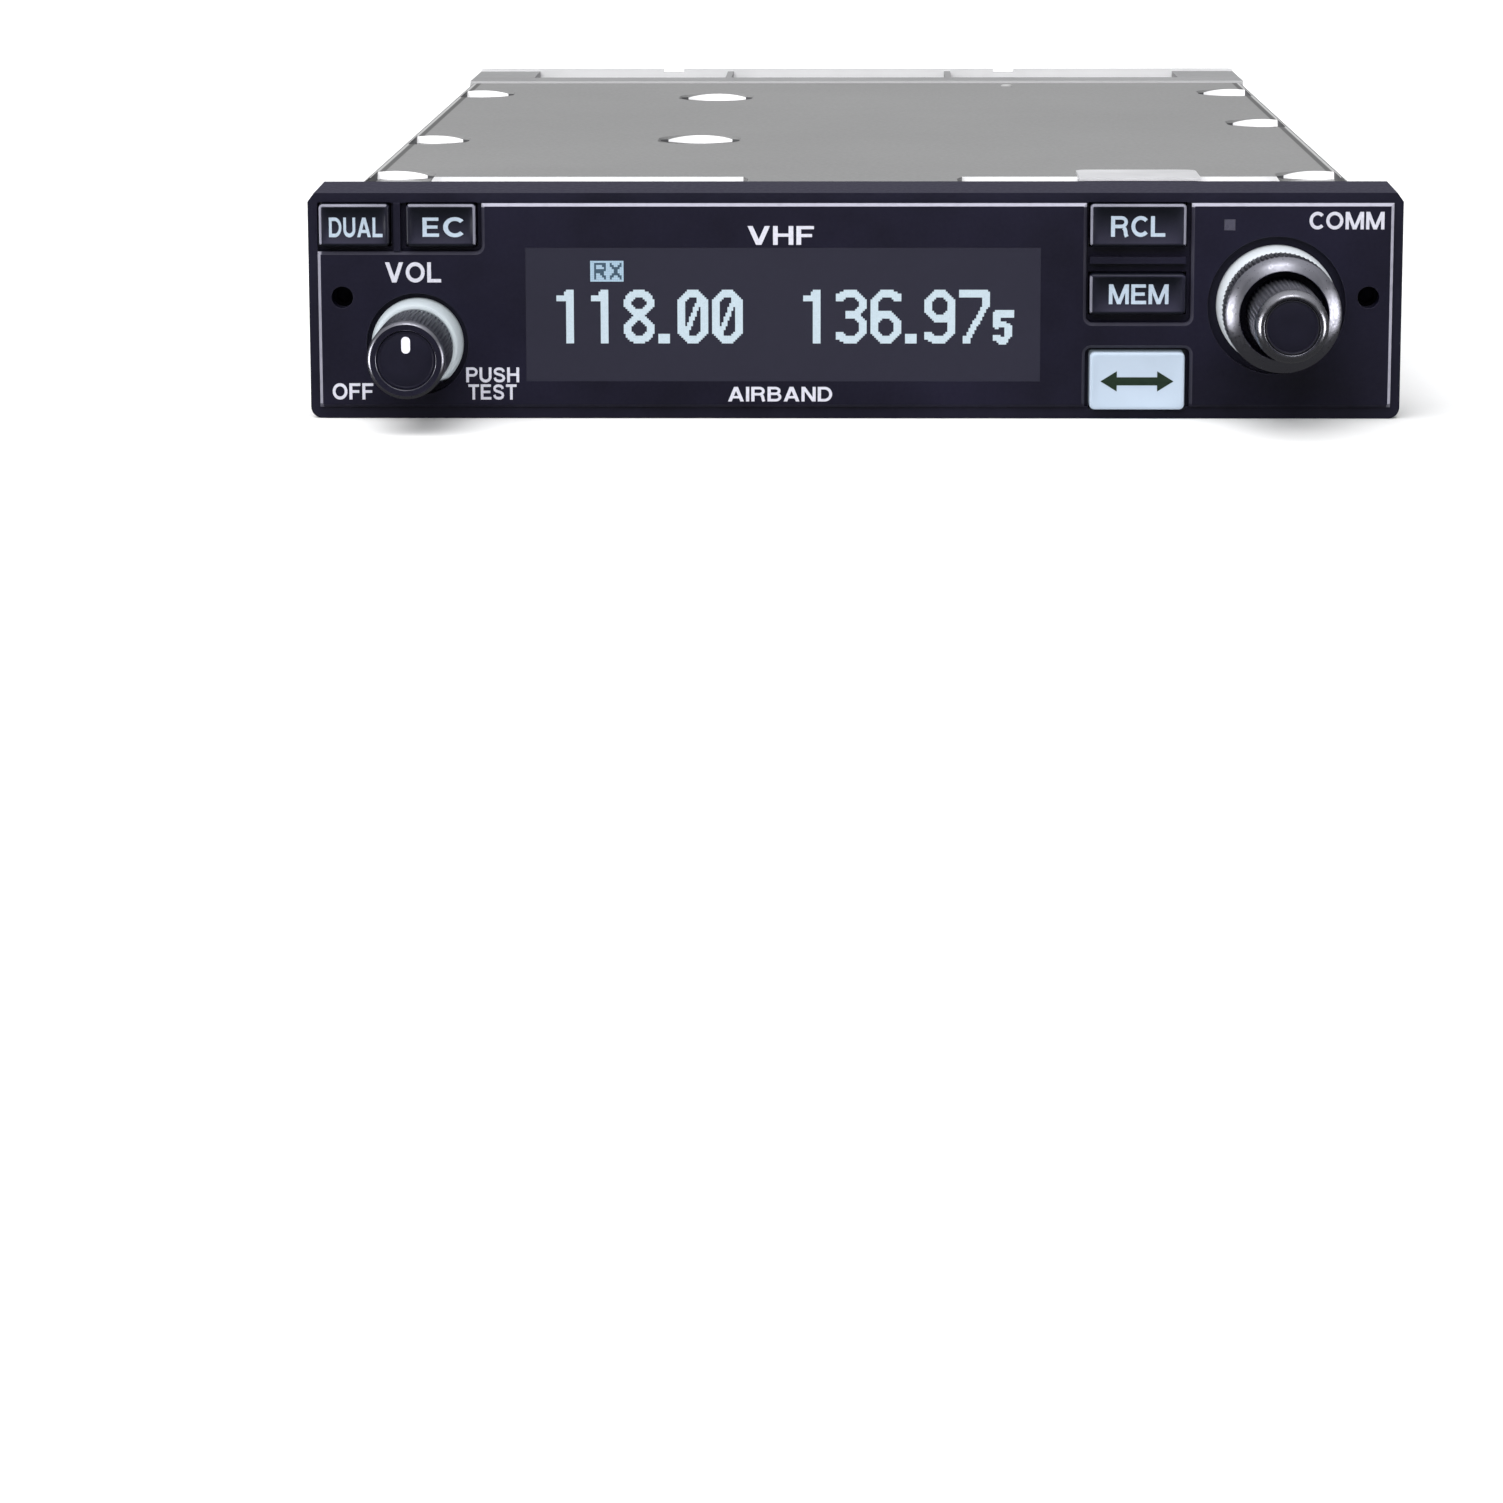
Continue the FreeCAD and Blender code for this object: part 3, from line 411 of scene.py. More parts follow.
# painted highlight for the walls of the dimples
M["bare"] = bare_sheet_highlight()
M["pressed"] = moulded("pressed_floor", (0.36, 0.36, 0.365), 0.55, 0.3, 900.0, 0.05, 0.08)
M["rivet"] = moulded("rivet_head", (0.40, 0.40, 0.40), 0.55, 0.3, 1500.0, 0.04, 0.1)
M["tip"] = moulded("dimple_shade", (0.11, 0.11, 0.115), 0.7, 0.2, 900.0, 0.04, 0.15)
M["clip"] = metal("clip_steel", (0.78, 0.78, 0.8), 0.4, (1, 8, 1), share=0.3)
M["key"] = key_paint()
# painted highlight for the bevel of a key on its bright sides
M["key_edge"] = moulded("key_edge_highlight", KEY_EDGE_HIGHLIGHT_RGB, 0.35, 0.4, 1300.0, 0.04, 0.3)
M["window"] = smoked_glass()
M["lcd"] = moulded("display_panel", (0.034, 0.032, 0.05), 0.4, 0.3, 3000.0, 0.02, 0.05)
M["cell"] = printed("lit_cell", (0.332, 0.40, 0.446), 0.6)
M["flag"] = printed("flag_cell", (0.235, 0.327, 0.407), 0.6)
M["flag_dim"] = printed("flag_dim_cell", (0.035, 0.062, 0.09), 0.6)
M["swap"] = lit("lit_key", (0.388, 0.46, 0.555), 0.12, (0.72, 0.86, 1.0))
M["ring"] = volume_ring_paint()
M["wide_ring"] = lit("wide_light_ring", (0.58, 0.62, 0.66), 0.11, (0.95, 0.98, 1.0))
M["ink"] = printed("white_ink", (0.62, 0.62, 0.70))
M["key_ink"] = printed("key_ink", (0.41, 0.49, 0.58), 0.08)
M["arrow"] = printed("arrow_ink", (0.014, 0.028, 0.016))
M["pointer"] = printed("pointer_ink", (0.80, 0.79, 0.89), 0.04)
M["bead"] = metal("knob_bead", (0.38, 0.38, 0.42), 0.3, (1, 1, 1), 2200.0, 0.01, 0.04)
M["knurl"] = metal("knob_knurl", KNURL_RGB, 0.34, (1, 5, 1), 1500.0, 0.05)
M["polish"] = metal("knob_polish", POLISH_RGB, 0.34, (1, 1, 1), 2200.0, 0.01, 0.04)
M["knob_paint"] = moulded("knob_face", (0.0072, 0.0066, 0.0165), 0.45, 0.3, 1800.0, 0.03)
M["steel"] = metal("zinc_steel", (0.55, 0.55, 0.57), 0.35)
M["oxide"] = metal("black_oxide", (0.035, 0.035, 0.05), 0.5)
M["tin"] = metal("tinplate", (0.66, 0.67, 0.66), 0.3, (1, 4, 1))
M["brass"] = metal("nickel_brass", (0.72, 0.62, 0.42), 0.28)
M["gold"] = metal("gold_contact", (0.85, 0.62, 0.25), 0.25)
M["black"] = moulded("black_moulding", (0.012, 0.012, 0.013), 0.55, 0.4)
M["silicone"] = moulded("silicone", (0.32, 0.34, 0.35), 0.7, 0.3)
M["board"] = circuit_board()
M["sleeve"] = moulded("capacitor_sleeve", (0.012, 0.018, 0.07), 0.3, 0.5)
M["ribbon"] = moulded("ribbon_cable", (0.3, 0.31, 0.33), 0.5, 0.4)
M["white"] = moulded("white_insulator", (0.72, 0.72, 0.70), 0.35, 0.5)
M["sensor"] = moulded("sensor_lens", (0.06, 0.058, 0.083), 0.3, 0.3)
M["floor"] = moulded("studio_floor", (0.93, 0.93, 0.93), 0.95, 0.0, 30.0, 0.0, 0.004)


# ---- mesh helpers
def new_piece(name, vertices, faces, mats, face_mats=None, smooth=True):
    mesh = bpy.data.meshes.new(name)
    mesh.from_pydata(vertices, [], faces)
    mesh.validate()
    for key in mats:
        mesh.materials.append(M[key].mat)
    if face_mats:
        for polygon, index in zip(mesh.polygons, face_mats):
            polygon.material_index = index
    mesh.polygons.foreach_set("use_smooth", [smooth] * len(mesh.polygons))
    mesh.update()
    obj = bpy.data.objects.new(name, mesh)
    bpy.context.collection.objects.link(obj)
    return obj


def bevel(obj, width, segments=2, angle=35.0):
    weld = obj.modifiers.new("weld", "WELD")
    weld.merge_threshold = 1e-6
    mod = obj.modifiers.new("bevel", "BEVEL")
    mod.width = width
    mod.segments = segments
    mod.limit_method = "ANGLE"
    mod.angle_limit = math.radians(angle)
    mod.harden_normals = True


def settle(obj, body, slot, *nodes):
    """Rides the piece on its body and hides the CAD nodes it stands for; slot is not used."""
    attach(obj, body)
    if nodes:
        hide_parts(*nodes)


def turned(name, x, z, profile, mats, segments=192, knurls=()):
    """Revolves (depth mm, radius mm, material index) points about the +Y line through x, z.

    knurls holds (first depth, last depth, teeth, tooth depth): radii in that span get teeth."""
    vertices = []
    faces = []
    face_mats = []
    rings = len(profile)
    for d, radius, _ in profile:
        for i in range(segments):
            angle = 2.0 * math.pi * i / segments
            r = radius
            for first, last, teeth, tooth in knurls:
                if first <= d <= last and radius > 1.0:
                    wave = 0.5 + 0.5 * math.cos(teeth * angle)
                    r = radius - tooth * (1.0 - wave ** 0.6)
            vertices.append((x + r * MM * math.sin(angle), depth(d), z + r * MM * math.cos(angle)))
    for j in range(rings - 1):
        for i in range(segments):
            k = (i + 1) % segments
            a, b = j * segments, (j + 1) * segments
            faces.append((a + i, a + k, b + k, b + i))
            face_mats.append(profile[j + 1][2])
    if profile[0][1] > 0.01:
        faces.append(tuple(reversed(range(segments))))
        face_mats.append(profile[0][2])
    if profile[-1][1] > 0.01:
        last = (rings - 1) * segments
        faces.append(tuple(range(last, last + segments)))
        face_mats.append(profile[-1][2])
    return new_piece(name, vertices, faces, mats, face_mats)


def sharpen(obj, angle=30.0):
    """Keeps the crisp steps of a turned or moulded piece crisp."""
    obj.data.set_sharp_from_angle(angle=math.radians(angle))


def rounded_loop(x0, x1, z0, z1, radius, steps=5, along=1):
    """Points of a rounded rectangle, anticlockwise; straight sides are split into along parts."""
    loop = []
    for cx, cz, start in ((x1 - radius, z0 + radius, -90), (x1 - radius, z1 - radius, 0),
                          (x0 + radius, z1 - radius, 90), (x0 + radius, z0 + radius, 180)):
        for i in range(steps + 1):
            angle = math.radians(start + 90.0 * i / steps)
            loop.append((cx + radius * math.cos(angle), cz + radius * math.sin(angle)))
    full = []
    for i, (px, pz) in enumerate(loop):
        full.append((px, pz))
        if (i + 1) % (steps + 1) == 0:
            qx, qz = loop[(i + 1) % len(loop)]
            for j in range(1, along):
                t = j / along
                full.append((px + (qx - px) * t, pz + (qz - pz) * t))
    return full


def keycap(name, node, mat, corner, scoop, bright=(), edge=KEY_EDGE):
    """Key with rounded corners, a soft bevel and a face scooped out between its top and bottom.

    bright names the sides whose bevel carries a painted highlight."""
    low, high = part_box(node)
    flange = KEY_FLANGE * MM
    x0, x1 = low.x + flange, high.x - flange
    z0, z1 = low.z + (SWAP_LOW_FLANGE * MM if node == "swap_button" else flange), high.z - flange
    front = low.y
    back = high.y
    rows = [(back, 0.0), (front + edge * 1.3 * MM, 0.0), (front + edge * 0.55 * MM, 0.10 * edge * MM),
            (front + edge * 0.18 * MM, 0.38 * edge * MM), (front + 0.02 * MM, 0.75 * edge * MM),
            (front, edge * MM)]
    bevel_rows = (2, 3, 4)
    half = min(x1 - x0, z1 - z0) / 2.0 - edge * MM
    count = 14
    for i in range(1, count + 1):
        rows.append((front, edge * MM + half * (i / count) * 0.985))
    vertices = []
    for y, inset in rows:
        radius = max(corner * MM - inset, 0.03 * MM)
        for x, z in rounded_loop(x0 + inset, x1 - inset, z0 + inset, z1 - inset, radius, along=12):
            dip = scoop_depth(node, x, z, scoop, edge) if y <= front + 1e-9 else 0.0
            vertices.append((x, y + dip, z))
    size = len(vertices) // len(rows)
    faces = []
    face_mats = []
    for j in range(len(rows) - 1):
        for i in range(size):
            k = (i + 1) % size
            faces.append((j * size + i, j * size + k, (j + 1) * size + k, (j + 1) * size + i))
            x = (vertices[i][0] + vertices[k][0]) / 2.0
            z = (vertices[i][2] + vertices[k][2]) / 2.0
            gaps = {"left": x - x0, "right": x1 - x, "top": z1 - z, "bottom": z - z0}
            side = min(gaps, key=gaps.get)
            # bevel faces on the bright sides take the painted highlight
            face_mats.append(1 if j in bevel_rows and side in bright else 0)
    last = (len(rows) - 1) * size
    faces.append(tuple(range(last, last + size)))
    faces.append(tuple(reversed(range(size))))
    face_mats += [0, 0]
    obj = new_piece(name, vertices, faces, [mat, "key_edge"], face_mats)
    sharpen(obj, 50.0)
    return obj


def scoop_depth(node, x, z, scoop, edge=KEY_EDGE):
    """How far the scooped face of a key lies behind its rim at one point, in metres."""
    low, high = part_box(node)
    middle_x, middle_z = (low.x + high.x) / 2.0, (low.z + high.z) / 2.0
    half_x = (high.x - low.x) / 2.0 - (KEY_FLANGE + edge) * MM
    half_z = (high.z - low.z) / 2.0 - (KEY_FLANGE + edge) * MM
    across = min(1.0, abs(x - middle_x) / half_x)
    up = min(1.0, abs(z - middle_z) / half_z)
    return scoop * MM * (1.0 - up ** 2) * (1.0 - across ** 10)


# Letters are drawn as polygons in units of the height of a capital.
def bar(x0, z0, x1, z1):
    return [(x0, z0), (x1, z0), (x1, z1), (x0, z1)]


def slant(low_x, high_x, width):
    """Full-height leg, width wide along the line, from low_x at the foot to high_x at the head."""
    return [(low_x, 0.0), (low_x + width, 0.0), (high_x + width, 1.0), (high_x, 1.0)]


def arc(cx, cz, rx, rz, start, stop, count=14):
    points = []
    for i in range(count + 1):
        angle = math.radians(start + (stop - start) * i / count)
        points.append((cx + rx * math.cos(angle), cz + rz * math.sin(angle)))
    return points


def band(path, width):
    """Quads that follow a path with mitred corners."""
    sides = []
    for i, (px, pz) in enumerate(path):
        ax, az = path[max(i - 1, 0)]
        bx, bz = path[min(i + 1, len(path) - 1)]
        if i == 0 or i == len(path) - 1:
            if path[0] == path[-1]:
                ax, az = path[-2]
                bx, bz = path[1]
        before = Vector((px - ax, pz - az))
        after = Vector((bx - px, bz - pz))
        before = before.normalized() if before.length > 1e-9 else after.normalized()
        after = after.normalized() if after.length > 1e-9 else before
        way = (before + after).normalized()
        reach = width / 2.0 / max(0.5, way.dot(after))
        nx, nz = -way.y * reach, way.x * reach
        sides.append(((px + nx, pz + nz), (px - nx, pz - nz)))
    return [[a[1], b[1], b[0], a[0]] for a, b in zip(sides, sides[1:])]


STEM = 0.2
LINE = 0.17
S_PATH = [(0.73, 0.70), (0.70, 0.80), (0.60, 0.885), (0.42, 0.915), (0.25, 0.89), (0.14, 0.81),
          (0.115, 0.71), (0.15, 0.62), (0.26, 0.56), (0.42, 0.515), (0.59, 0.47), (0.71, 0.39),
          (0.745, 0.275), (0.70, 0.165), (0.59, 0.10), (0.42, 0.085), (0.25, 0.11), (0.14, 0.19),
          (0.10, 0.31)]
LETTERS = {
    "A": (0.98, [slant(0.0, 0.37, 0.22), slant(0.76, 0.39, 0.22), bar(0.2, 0.21, 0.78, 0.37)]),
    "B": (0.87, [bar(0, 0, STEM, 1)]
          + band([(STEM, 0.915), (0.48, 0.915)] + arc(0.48, 0.72, 0.24, 0.195, 90, -90)
                 + [(STEM, 0.525)], LINE)
          + band(arc(0.5, 0.305, 0.27, 0.22, 60, -90) + [(STEM, 0.085)], LINE)),
    "C": (0.84, band(arc(0.47, 0.5, 0.372, 0.41, 42, 318, 28), 0.19)),
    "D": (0.9, [bar(0, 0, STEM, 1)]
          + band([(STEM, 0.915), (0.42, 0.915)] + arc(0.42, 0.5, 0.38, 0.415, 90, -90, 20)
                 + [(STEM, 0.085)], 0.18)),
    "E": (0.79, [bar(0, 0, STEM, 1), bar(STEM, 0.83, 0.77, 1), bar(STEM, 0.42, 0.72, 0.585),
                 bar(STEM, 0, 0.79, LINE)]),
    "F": (0.74, [bar(0, 0, STEM, 1), bar(STEM, 0.83, 0.74, 1), bar(STEM, 0.41, 0.66, 0.575)]),
    "H": (0.86, [bar(0, 0, STEM, 1), bar(0.66, 0, 0.86, 1), bar(STEM, 0.43, 0.66, 0.6)]),
    "I": (0.2, [bar(0, 0, STEM, 1)]),
    "L": (0.72, [bar(0, 0, STEM, 1), bar(STEM, 0, 0.72, LINE)]),
    "M": (1.06, [bar(0, 0, 0.19, 1), bar(0.87, 0, 1.06, 1), slant(0.43, 0.02, 0.2),
                 slant(0.43, 0.84, 0.2)]),
    "N": (0.88, [bar(0, 0, 0.19, 1), bar(0.69, 0, 0.88, 1), slant(0.655, 0.0, 0.225)]),
    "O": (0.99, band(arc(0.495, 0.5, 0.4, 0.41, 0, 360, 40), 0.19)),
    "P": (0.82, [bar(0, 0, STEM, 1)]
          + band([(STEM, 0.915), (0.48, 0.915)] + arc(0.48, 0.69, 0.25, 0.225, 90, -90)
                 + [(STEM, 0.465)], LINE)),
    "R": (0.88, [bar(0, 0, STEM, 1)]
          + band([(STEM, 0.915), (0.5, 0.915)] + arc(0.5, 0.705, 0.25, 0.21, 90, -90)
                 + [(STEM, 0.495)], LINE)
          + band([(0.62, 0.43), (0.69, 0.36), (0.72, 0.26), (0.735, 0.12), (0.785, 0.0)], 0.185)),
    "S": (0.85, band(S_PATH, 0.175)),
    "T": (0.8, [bar(0, 0.83, 0.8, 1), bar(0.3, 0, 0.5, 0.83)]),
    "U": (0.86, band([(0.1, 1.0), (0.1, 0.37)] + arc(0.43, 0.37, 0.33, 0.285, 180, 360)
                     + [(0.76, 1.0)], 0.195)),
    "V": (0.95, [slant(0.36, 0.0, 0.22), slant(0.37, 0.73, 0.22)]),
}
LETTER_GAP = 0.13


def lettering(name, text, x0, x1, z0, z1, y, mat):
    """Flat generic legend, fitted into a box of millimetres, its face at world y."""
    polygons = []
    cursor = 0.0
    for letter in text:
        width, shapes = LETTERS[letter]
        # strokes that cross lie at slightly different depths
        polygons += [(i % 5 * 0.003 * MM, [(cursor + px, pz) for px, pz in shape])
                     for i, shape in enumerate(shapes)]
        cursor += width + LETTER_GAP
    total = cursor - LETTER_GAP
    vertices = []
    faces = []
    for step, shape in polygons:
        base = len(vertices)
        count = len(shape)
        for lift in (step, INK * MM):
            vertices += [((x0 + px / total * (x1 - x0)) * MM, y + lift, (z0 + pz * (z1 - z0)) * MM)
                         for px, pz in shape]
        faces.append(tuple(range(base, base + count)))
        faces.append(tuple(reversed(range(base + count, base + 2 * count))))
        for i in range(count):
            k = (i + 1) % count
            faces.append((base + i, base + count + i, base + count + k, base + k))
    return new_piece(name, vertices, faces, [mat], smooth=False)


def slabs(name, blocks, mats, smooth=False):
    """Many small boxes (x0, x1, y0, y1, z0, z1), in metres, in one mesh."""
    vertices = []
    faces = []
    for x0, x1, y0, y1, z0, z1 in blocks:
        base = len(vertices)
        vertices += [(x0, y0, z0), (x1, y0, z0), (x1, y0, z1), (x0, y0, z1),
                     (x0, y1, z0), (x1, y1, z0), (x1, y1, z1), (x0, y1, z1)]
        for face in ((0, 1, 2, 3), (5, 4, 7, 6), (4, 0, 3, 7), (1, 5, 6, 2), (3, 2, 6, 7),
                     (4, 5, 1, 0)):
            faces.append(tuple(base + i for i in face))
    return new_piece(name, vertices, faces, mats, smooth=smooth)


# ---- carried-over CAD nodes
def dress(mat, *nodes, edge=0.0, segments=2):
    for node in nodes:
        obj = frame["nodes"][node]
        obj.data.materials.clear()
        obj.data.materials.append(M[mat].mat)
        if edge:
            bevel(obj, edge * MM, segments)


dress("bezel", "front_bezel", edge=0.25, segments=3)
dress("face", "light_plate", edge=0.05)
dress("cover", "top_cover", "bottom_cover")
dress("block", "rear_heat_sink", edge=0.25)
dress("cast", "front_flange", "side_rail_left", "side_rail_right", "rear_plate", edge=0.2)
dress("clip", "grounding_clip", edge=0.1)
dress("steel", "bezel_screws", "heat_sink_screws", "main_board_screws", "top_cover_screws",
      "bottom_cover_screws", "lock_claw_left", "lock_claw_right", "data_connector_screws",
      "volume_nut", "tuning_nut", "volume_shaft", "tuning_outer_shaft", "tuning_inner_shaft",
      "volume_plunger", "volume_encoder", "tuning_encoder", edge=0.08)
dress("oxide", "lock_screw_left", "lock_screw_right", edge=0.08)
dress("lcd", "display_module", edge=0.1)
dress("tin", "rf_shield_can", "if_shield_can", "data_connector_shell", edge=0.1)
dress("brass", "antenna_connector", "cover_standoffs", edge=0.1)
dress("white", "antenna_connector_insulator")
dress("black", "data_connector_insert", "processor_chip", "ribbon_headers", "display_frame",
      "power_amplifier_module", edge=0.1)
dress("silicone", "keypad_left", "keypad_right", edge=0.1)
dress("board", "front_board", "main_board")
dress("sleeve", "supply_capacitors", edge=0.4)
dress("ribbon", "front_ribbon_cable")
dress("sensor", "light_sensor_lens", edge=0.08)


# ---- display
CELL = 0.563  # a glyph is eight of these wide, fourteen high
FINE = 2  # dots of the display to one of these
# Stroke paths on a grid 8 cells wide and 14 high, x rightwards and y upwards.
ROUND = [(3, 13), (5, 13), (7, 11), (7, 3), (5, 1), (3, 1), (1, 3), (1, 11), (3, 13)]
SIX = [(7, 12), (5.6, 13), (3, 13), (1, 11), (1, 3), (3, 1), (5, 1), (7, 3), (7, 5.6), (5.2, 7.4),
       (2.6, 7.4), (1.2, 6)]
GLYPHS = {
    "0": [(ROUND, 0.95), ([(2.5, 3.4), (5.5, 10.6)], 0.66)],
    "1": [([(4, 1), (4, 13)], 1.0), ([(3.7, 13.2), (2.7, 12.0), (2.2, 11.55), (1.4, 11.55)], 0.78)],
    "3": [([(1, 12), (2.6, 13), (5, 13), (7, 11), (7, 9.6), (5, 7.5), (3.4, 7.5)], 0.95),
          ([(5, 7.5), (7, 5.4), (7, 3), (5, 1), (2.6, 1), (1, 2)], 0.95)],
    "6": [(SIX, 0.95)],
    "7": [([(1, 13), (7, 13), (7, 10), (2, 1)], 0.8)],
    "8": [([(4, 7.5), (7, 9.8), (7, 11.2), (5.2, 13), (2.8, 13), (1, 11.2), (1, 9.8), (4, 7.5)],
           0.93),
          ([(4, 7.5), (7, 4.6), (7, 2.8), (5.2, 1), (2.8, 1), (1, 2.8), (1, 4.6), (4, 7.5)],
           0.93)],
    "9": [([(8 - a, 14 - b) for a, b in SIX], 0.95)],
    "s": [([(4.5, 8), (1, 8), (1, 5), (3, 5.2), (4, 4.6), (4, 2.2), (3, 1), (1.8, 1), (1, 1.8)],
           0.8)],
    ".": [([(1.5, 1.35), (1.7, 1.35)], 1.28)],
    "R": [([(1.5, 1.5), (1.5, 8.5), (5.5, 8.5), (6.5, 7.5), (6.5, 6), (5.5, 5), (1.5, 5)], 0.95),
          ([(4, 5), (6.5, 1.5)], 0.95)],
    "X": [([(1.5, 1.5), (6.5, 8.5)], 0.95), ([(1.5, 8.5), (6.5, 1.5)], 0.95)],
}
ADVANCE = {".": 5, "1": 9, "s": 6}


def near_stroke(px, py, path, reach):
    """Whether a point lies on a stroke; an open stroke has square ends."""
    if path[0] != path[-1]:
        for ex, ey in (path[0], path[-1]):
            if max(abs(px - ex), abs(py - ey)) <= reach:
                return True
    for (ax, ay), (bx, by) in zip(path, path[1:]):
        dx, dy = bx - ax, by - ay
        t = max(0.0, min(1.0, ((px - ax) * dx + (py - ay) * dy) / (dx * dx + dy * dy)))
        if math.hypot(px - ax - t * dx, py - ay - t * dy) <= reach:
            return True
    return False


def cells_of(glyph, columns=9, rows=14, fine=1, thin=1.0):
    """Cells of one glyph whose centre lies on one of its strokes, fine of them to a grid step."""
    found = []
    for c in range(columns * fine):
        for r in range(rows * fine):
            px, py = (c + 0.5) / fine, (r + 0.5) / fine
            if any(near_stroke(px, py, path, reach * thin) for path, reach in GLYPHS[glyph]):
                found.append((c, r))
    return found


def lit_cells(name, text, left, low, pitch, y):
    """Rows of square lit cells, left and low in millimetres."""
    blocks = []
    cursor = 0
    for glyph in text:
        for c, r in cells_of(glyph, fine=FINE):
            x0 = (left + (cursor + (c + 0.005) / FINE) * pitch) * MM
            z0 = (low + (r + 0.005) / FINE * pitch) * MM
            side = 0.99 * pitch / FINE * MM
            blocks.append((x0, x0 + side, y - DOT * MM, y, z0, z0 + side))
        cursor += ADVANCE.get(glyph, 9)
    return slabs(name, blocks, ["cell"])


def display():
    dress("window", "display_window")
    y = WINDOW_LOW.y
    pieces = [lit_cells("active_frequency", "118.00", -43.9, 11.15, CELL, y),
              lit_cells("standby_frequency", "136.97", -7.75, 11.15, CELL, y),
              lit_cells("standby_last_digit", "s", 20.3, 11.0, CELL, y)]
    # receive flag: dim letters in a bright field
    wide, tall = 0.287, 0.305
    left, low = -38.63, 20.22
    blank = set()
    for glyph, shift in (("R", 1), ("X", 9)):
        blank.update((c + shift, r) for c, r in cells_of(glyph, 8, 10, thin=0.79))
    bright, dim = [], []
    for c in range(17):
        for r in range(10):
            x0 = (left + (c + 0.02) * wide) * MM
            z0 = (low + (r + 0.02) * tall) * MM
            block = (x0, x0 + 0.96 * wide * MM, y - DOT * MM, y, z0, z0 + 0.96 * tall * MM)
            (dim if (c, r) in blank else bright).append(block)
    pieces.append(slabs("receive_flag", bright, ["flag"]))
    pieces.append(slabs("receive_flag_letters", dim, ["flag_dim"]))
    for piece in pieces:
        settle(piece, "radio", "lit_key")


# ---- keys
def keys():
    sides = {"dual": ("top", "left"), "channel": ("top", "right"),
             "recall": ("top", "left", "right"), "memory": ("left",)}
    for key, words in (("dual", (("DUAL", -76.8, -68.95, 26.75, 29.6),)),
                       ("channel", (("E", -63.1, -60.7, 26.8, 29.6),
                                    ("C", -60.1, -57.0, 26.75, 29.65))),
                       ("recall", (("RCL", 37.4, 45.3, 26.8, 29.8),)),
                       ("memory", (("MEM", 37.2, 45.9, 16.95, 19.85),))):
        node = key + "_button"
        cap = keycap(key + "_keycap", node, "key", 0.6, KEY_SCOOP, sides[key])
        settle(cap, key + "_key", "key_plastic", node)
        for i, (text, x0, x1, z0, z1) in enumerate(words):
            legend = lettering("%s_legend_%d" % (key, i), text, x0, x1, z0, z1, 0.0, "key_ink")
            sag(legend, node, KEY_SCOOP)
            settle(legend, key + "_key", "lit_key")
    cap = keycap("swap_keycap", "swap_button", "swap", 0.75, SWAP_SCOOP)
    settle(cap, "swap_key", "lit_key", "swap_button")
    arrow = double_arrow("swap_arrow", 36.1, 46.8, 5.6)
    sag(arrow, "swap_button", SWAP_SCOOP)
    settle(arrow, "swap_key", "key_plastic")


def sag(obj, node, scoop):
    """Lays a flat legend onto the scooped face of a key, cut finely enough to follow it."""
    mesh = bmesh.new()
    mesh.from_mesh(obj.data)
    low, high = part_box(node)
    z = low.z
    while z < high.z:
        everything = mesh.verts[:] + mesh.edges[:] + mesh.faces[:]
        bmesh.ops.bisect_plane(mesh, geom=everything, plane_co=(0, 0, z), plane_no=(0, 0, 1))
        z += 0.3 * MM
    for v in mesh.verts:
        v.co.y += low.y + scoop_depth(node, v.co.x, v.co.z, scoop) - INK * MM
    mesh.to_mesh(obj.data)
    mesh.free()


def double_arrow(name, x0, x1, z):
    """Flat double-headed arrow."""
    shaft, spread, head = 0.6, 1.5, 2.4
    loop = [(x0, z), (x0 + head, z - spread), (x0 + head, z - shaft), (x1 - head, z - shaft),
            (x1 - head, z - spread), (x1, z), (x1 - head, z + spread), (x1 - head, z + shaft),
            (x0 + head, z + shaft), (x0 + head, z + spread)]
    count = len(loop)
    vertices = []
    for lift in (0.0, INK * MM):
        vertices += [(px * MM, lift, pz * MM) for px, pz in loop]
    faces = [tuple(range(count)), tuple(reversed(range(count, 2 * count)))]
    faces += [(i, count + i, count + (i + 1) % count, (i + 1) % count) for i in range(count)]
    return new_piece(name, vertices, faces, ["arrow"], smooth=False)


# ---- knobs
def rings():
    x, z = VOLUME.x, VOLUME.z
    ring = turned("volume_ring", x, z, [(1.6, 6.7, 0), (0.0, 6.7, 0), (-0.8, 6.68, 0), (-3.1, 6.3, 0),
                                        (-3.5, 6.1, 0), (-3.6, 5.9, 0), (-3.6, 5.6, 0),
                                        (-3.4, 5.45, 0), (1.5, 5.42, 0), (1.6, 6.7, 0)],
                  ["ring"])
    sharpen(ring)
    settle(ring, "radio", "light_guide", "volume_light_ring")
    x, z = TUNING.x, TUNING.z
    ring = turned("tuning_ring", x, z, [(1.6, 8.75, 0), (-0.8, 8.75, 0), (-1.2, 8.7, 0),
                                        (-3.5, 8.42, 0), (-3.9, 8.2, 0), (-4.0, 7.95, 0),
                                        (-4.0, 7.5, 0), (-3.8, 7.35, 0), (1.5, 7.32, 0),
                                        (1.6, 8.75, 0)], ["wide_ring"], 240)
    sharpen(ring)
    settle(ring, "radio", "light_guide", "tuning_light_ring")


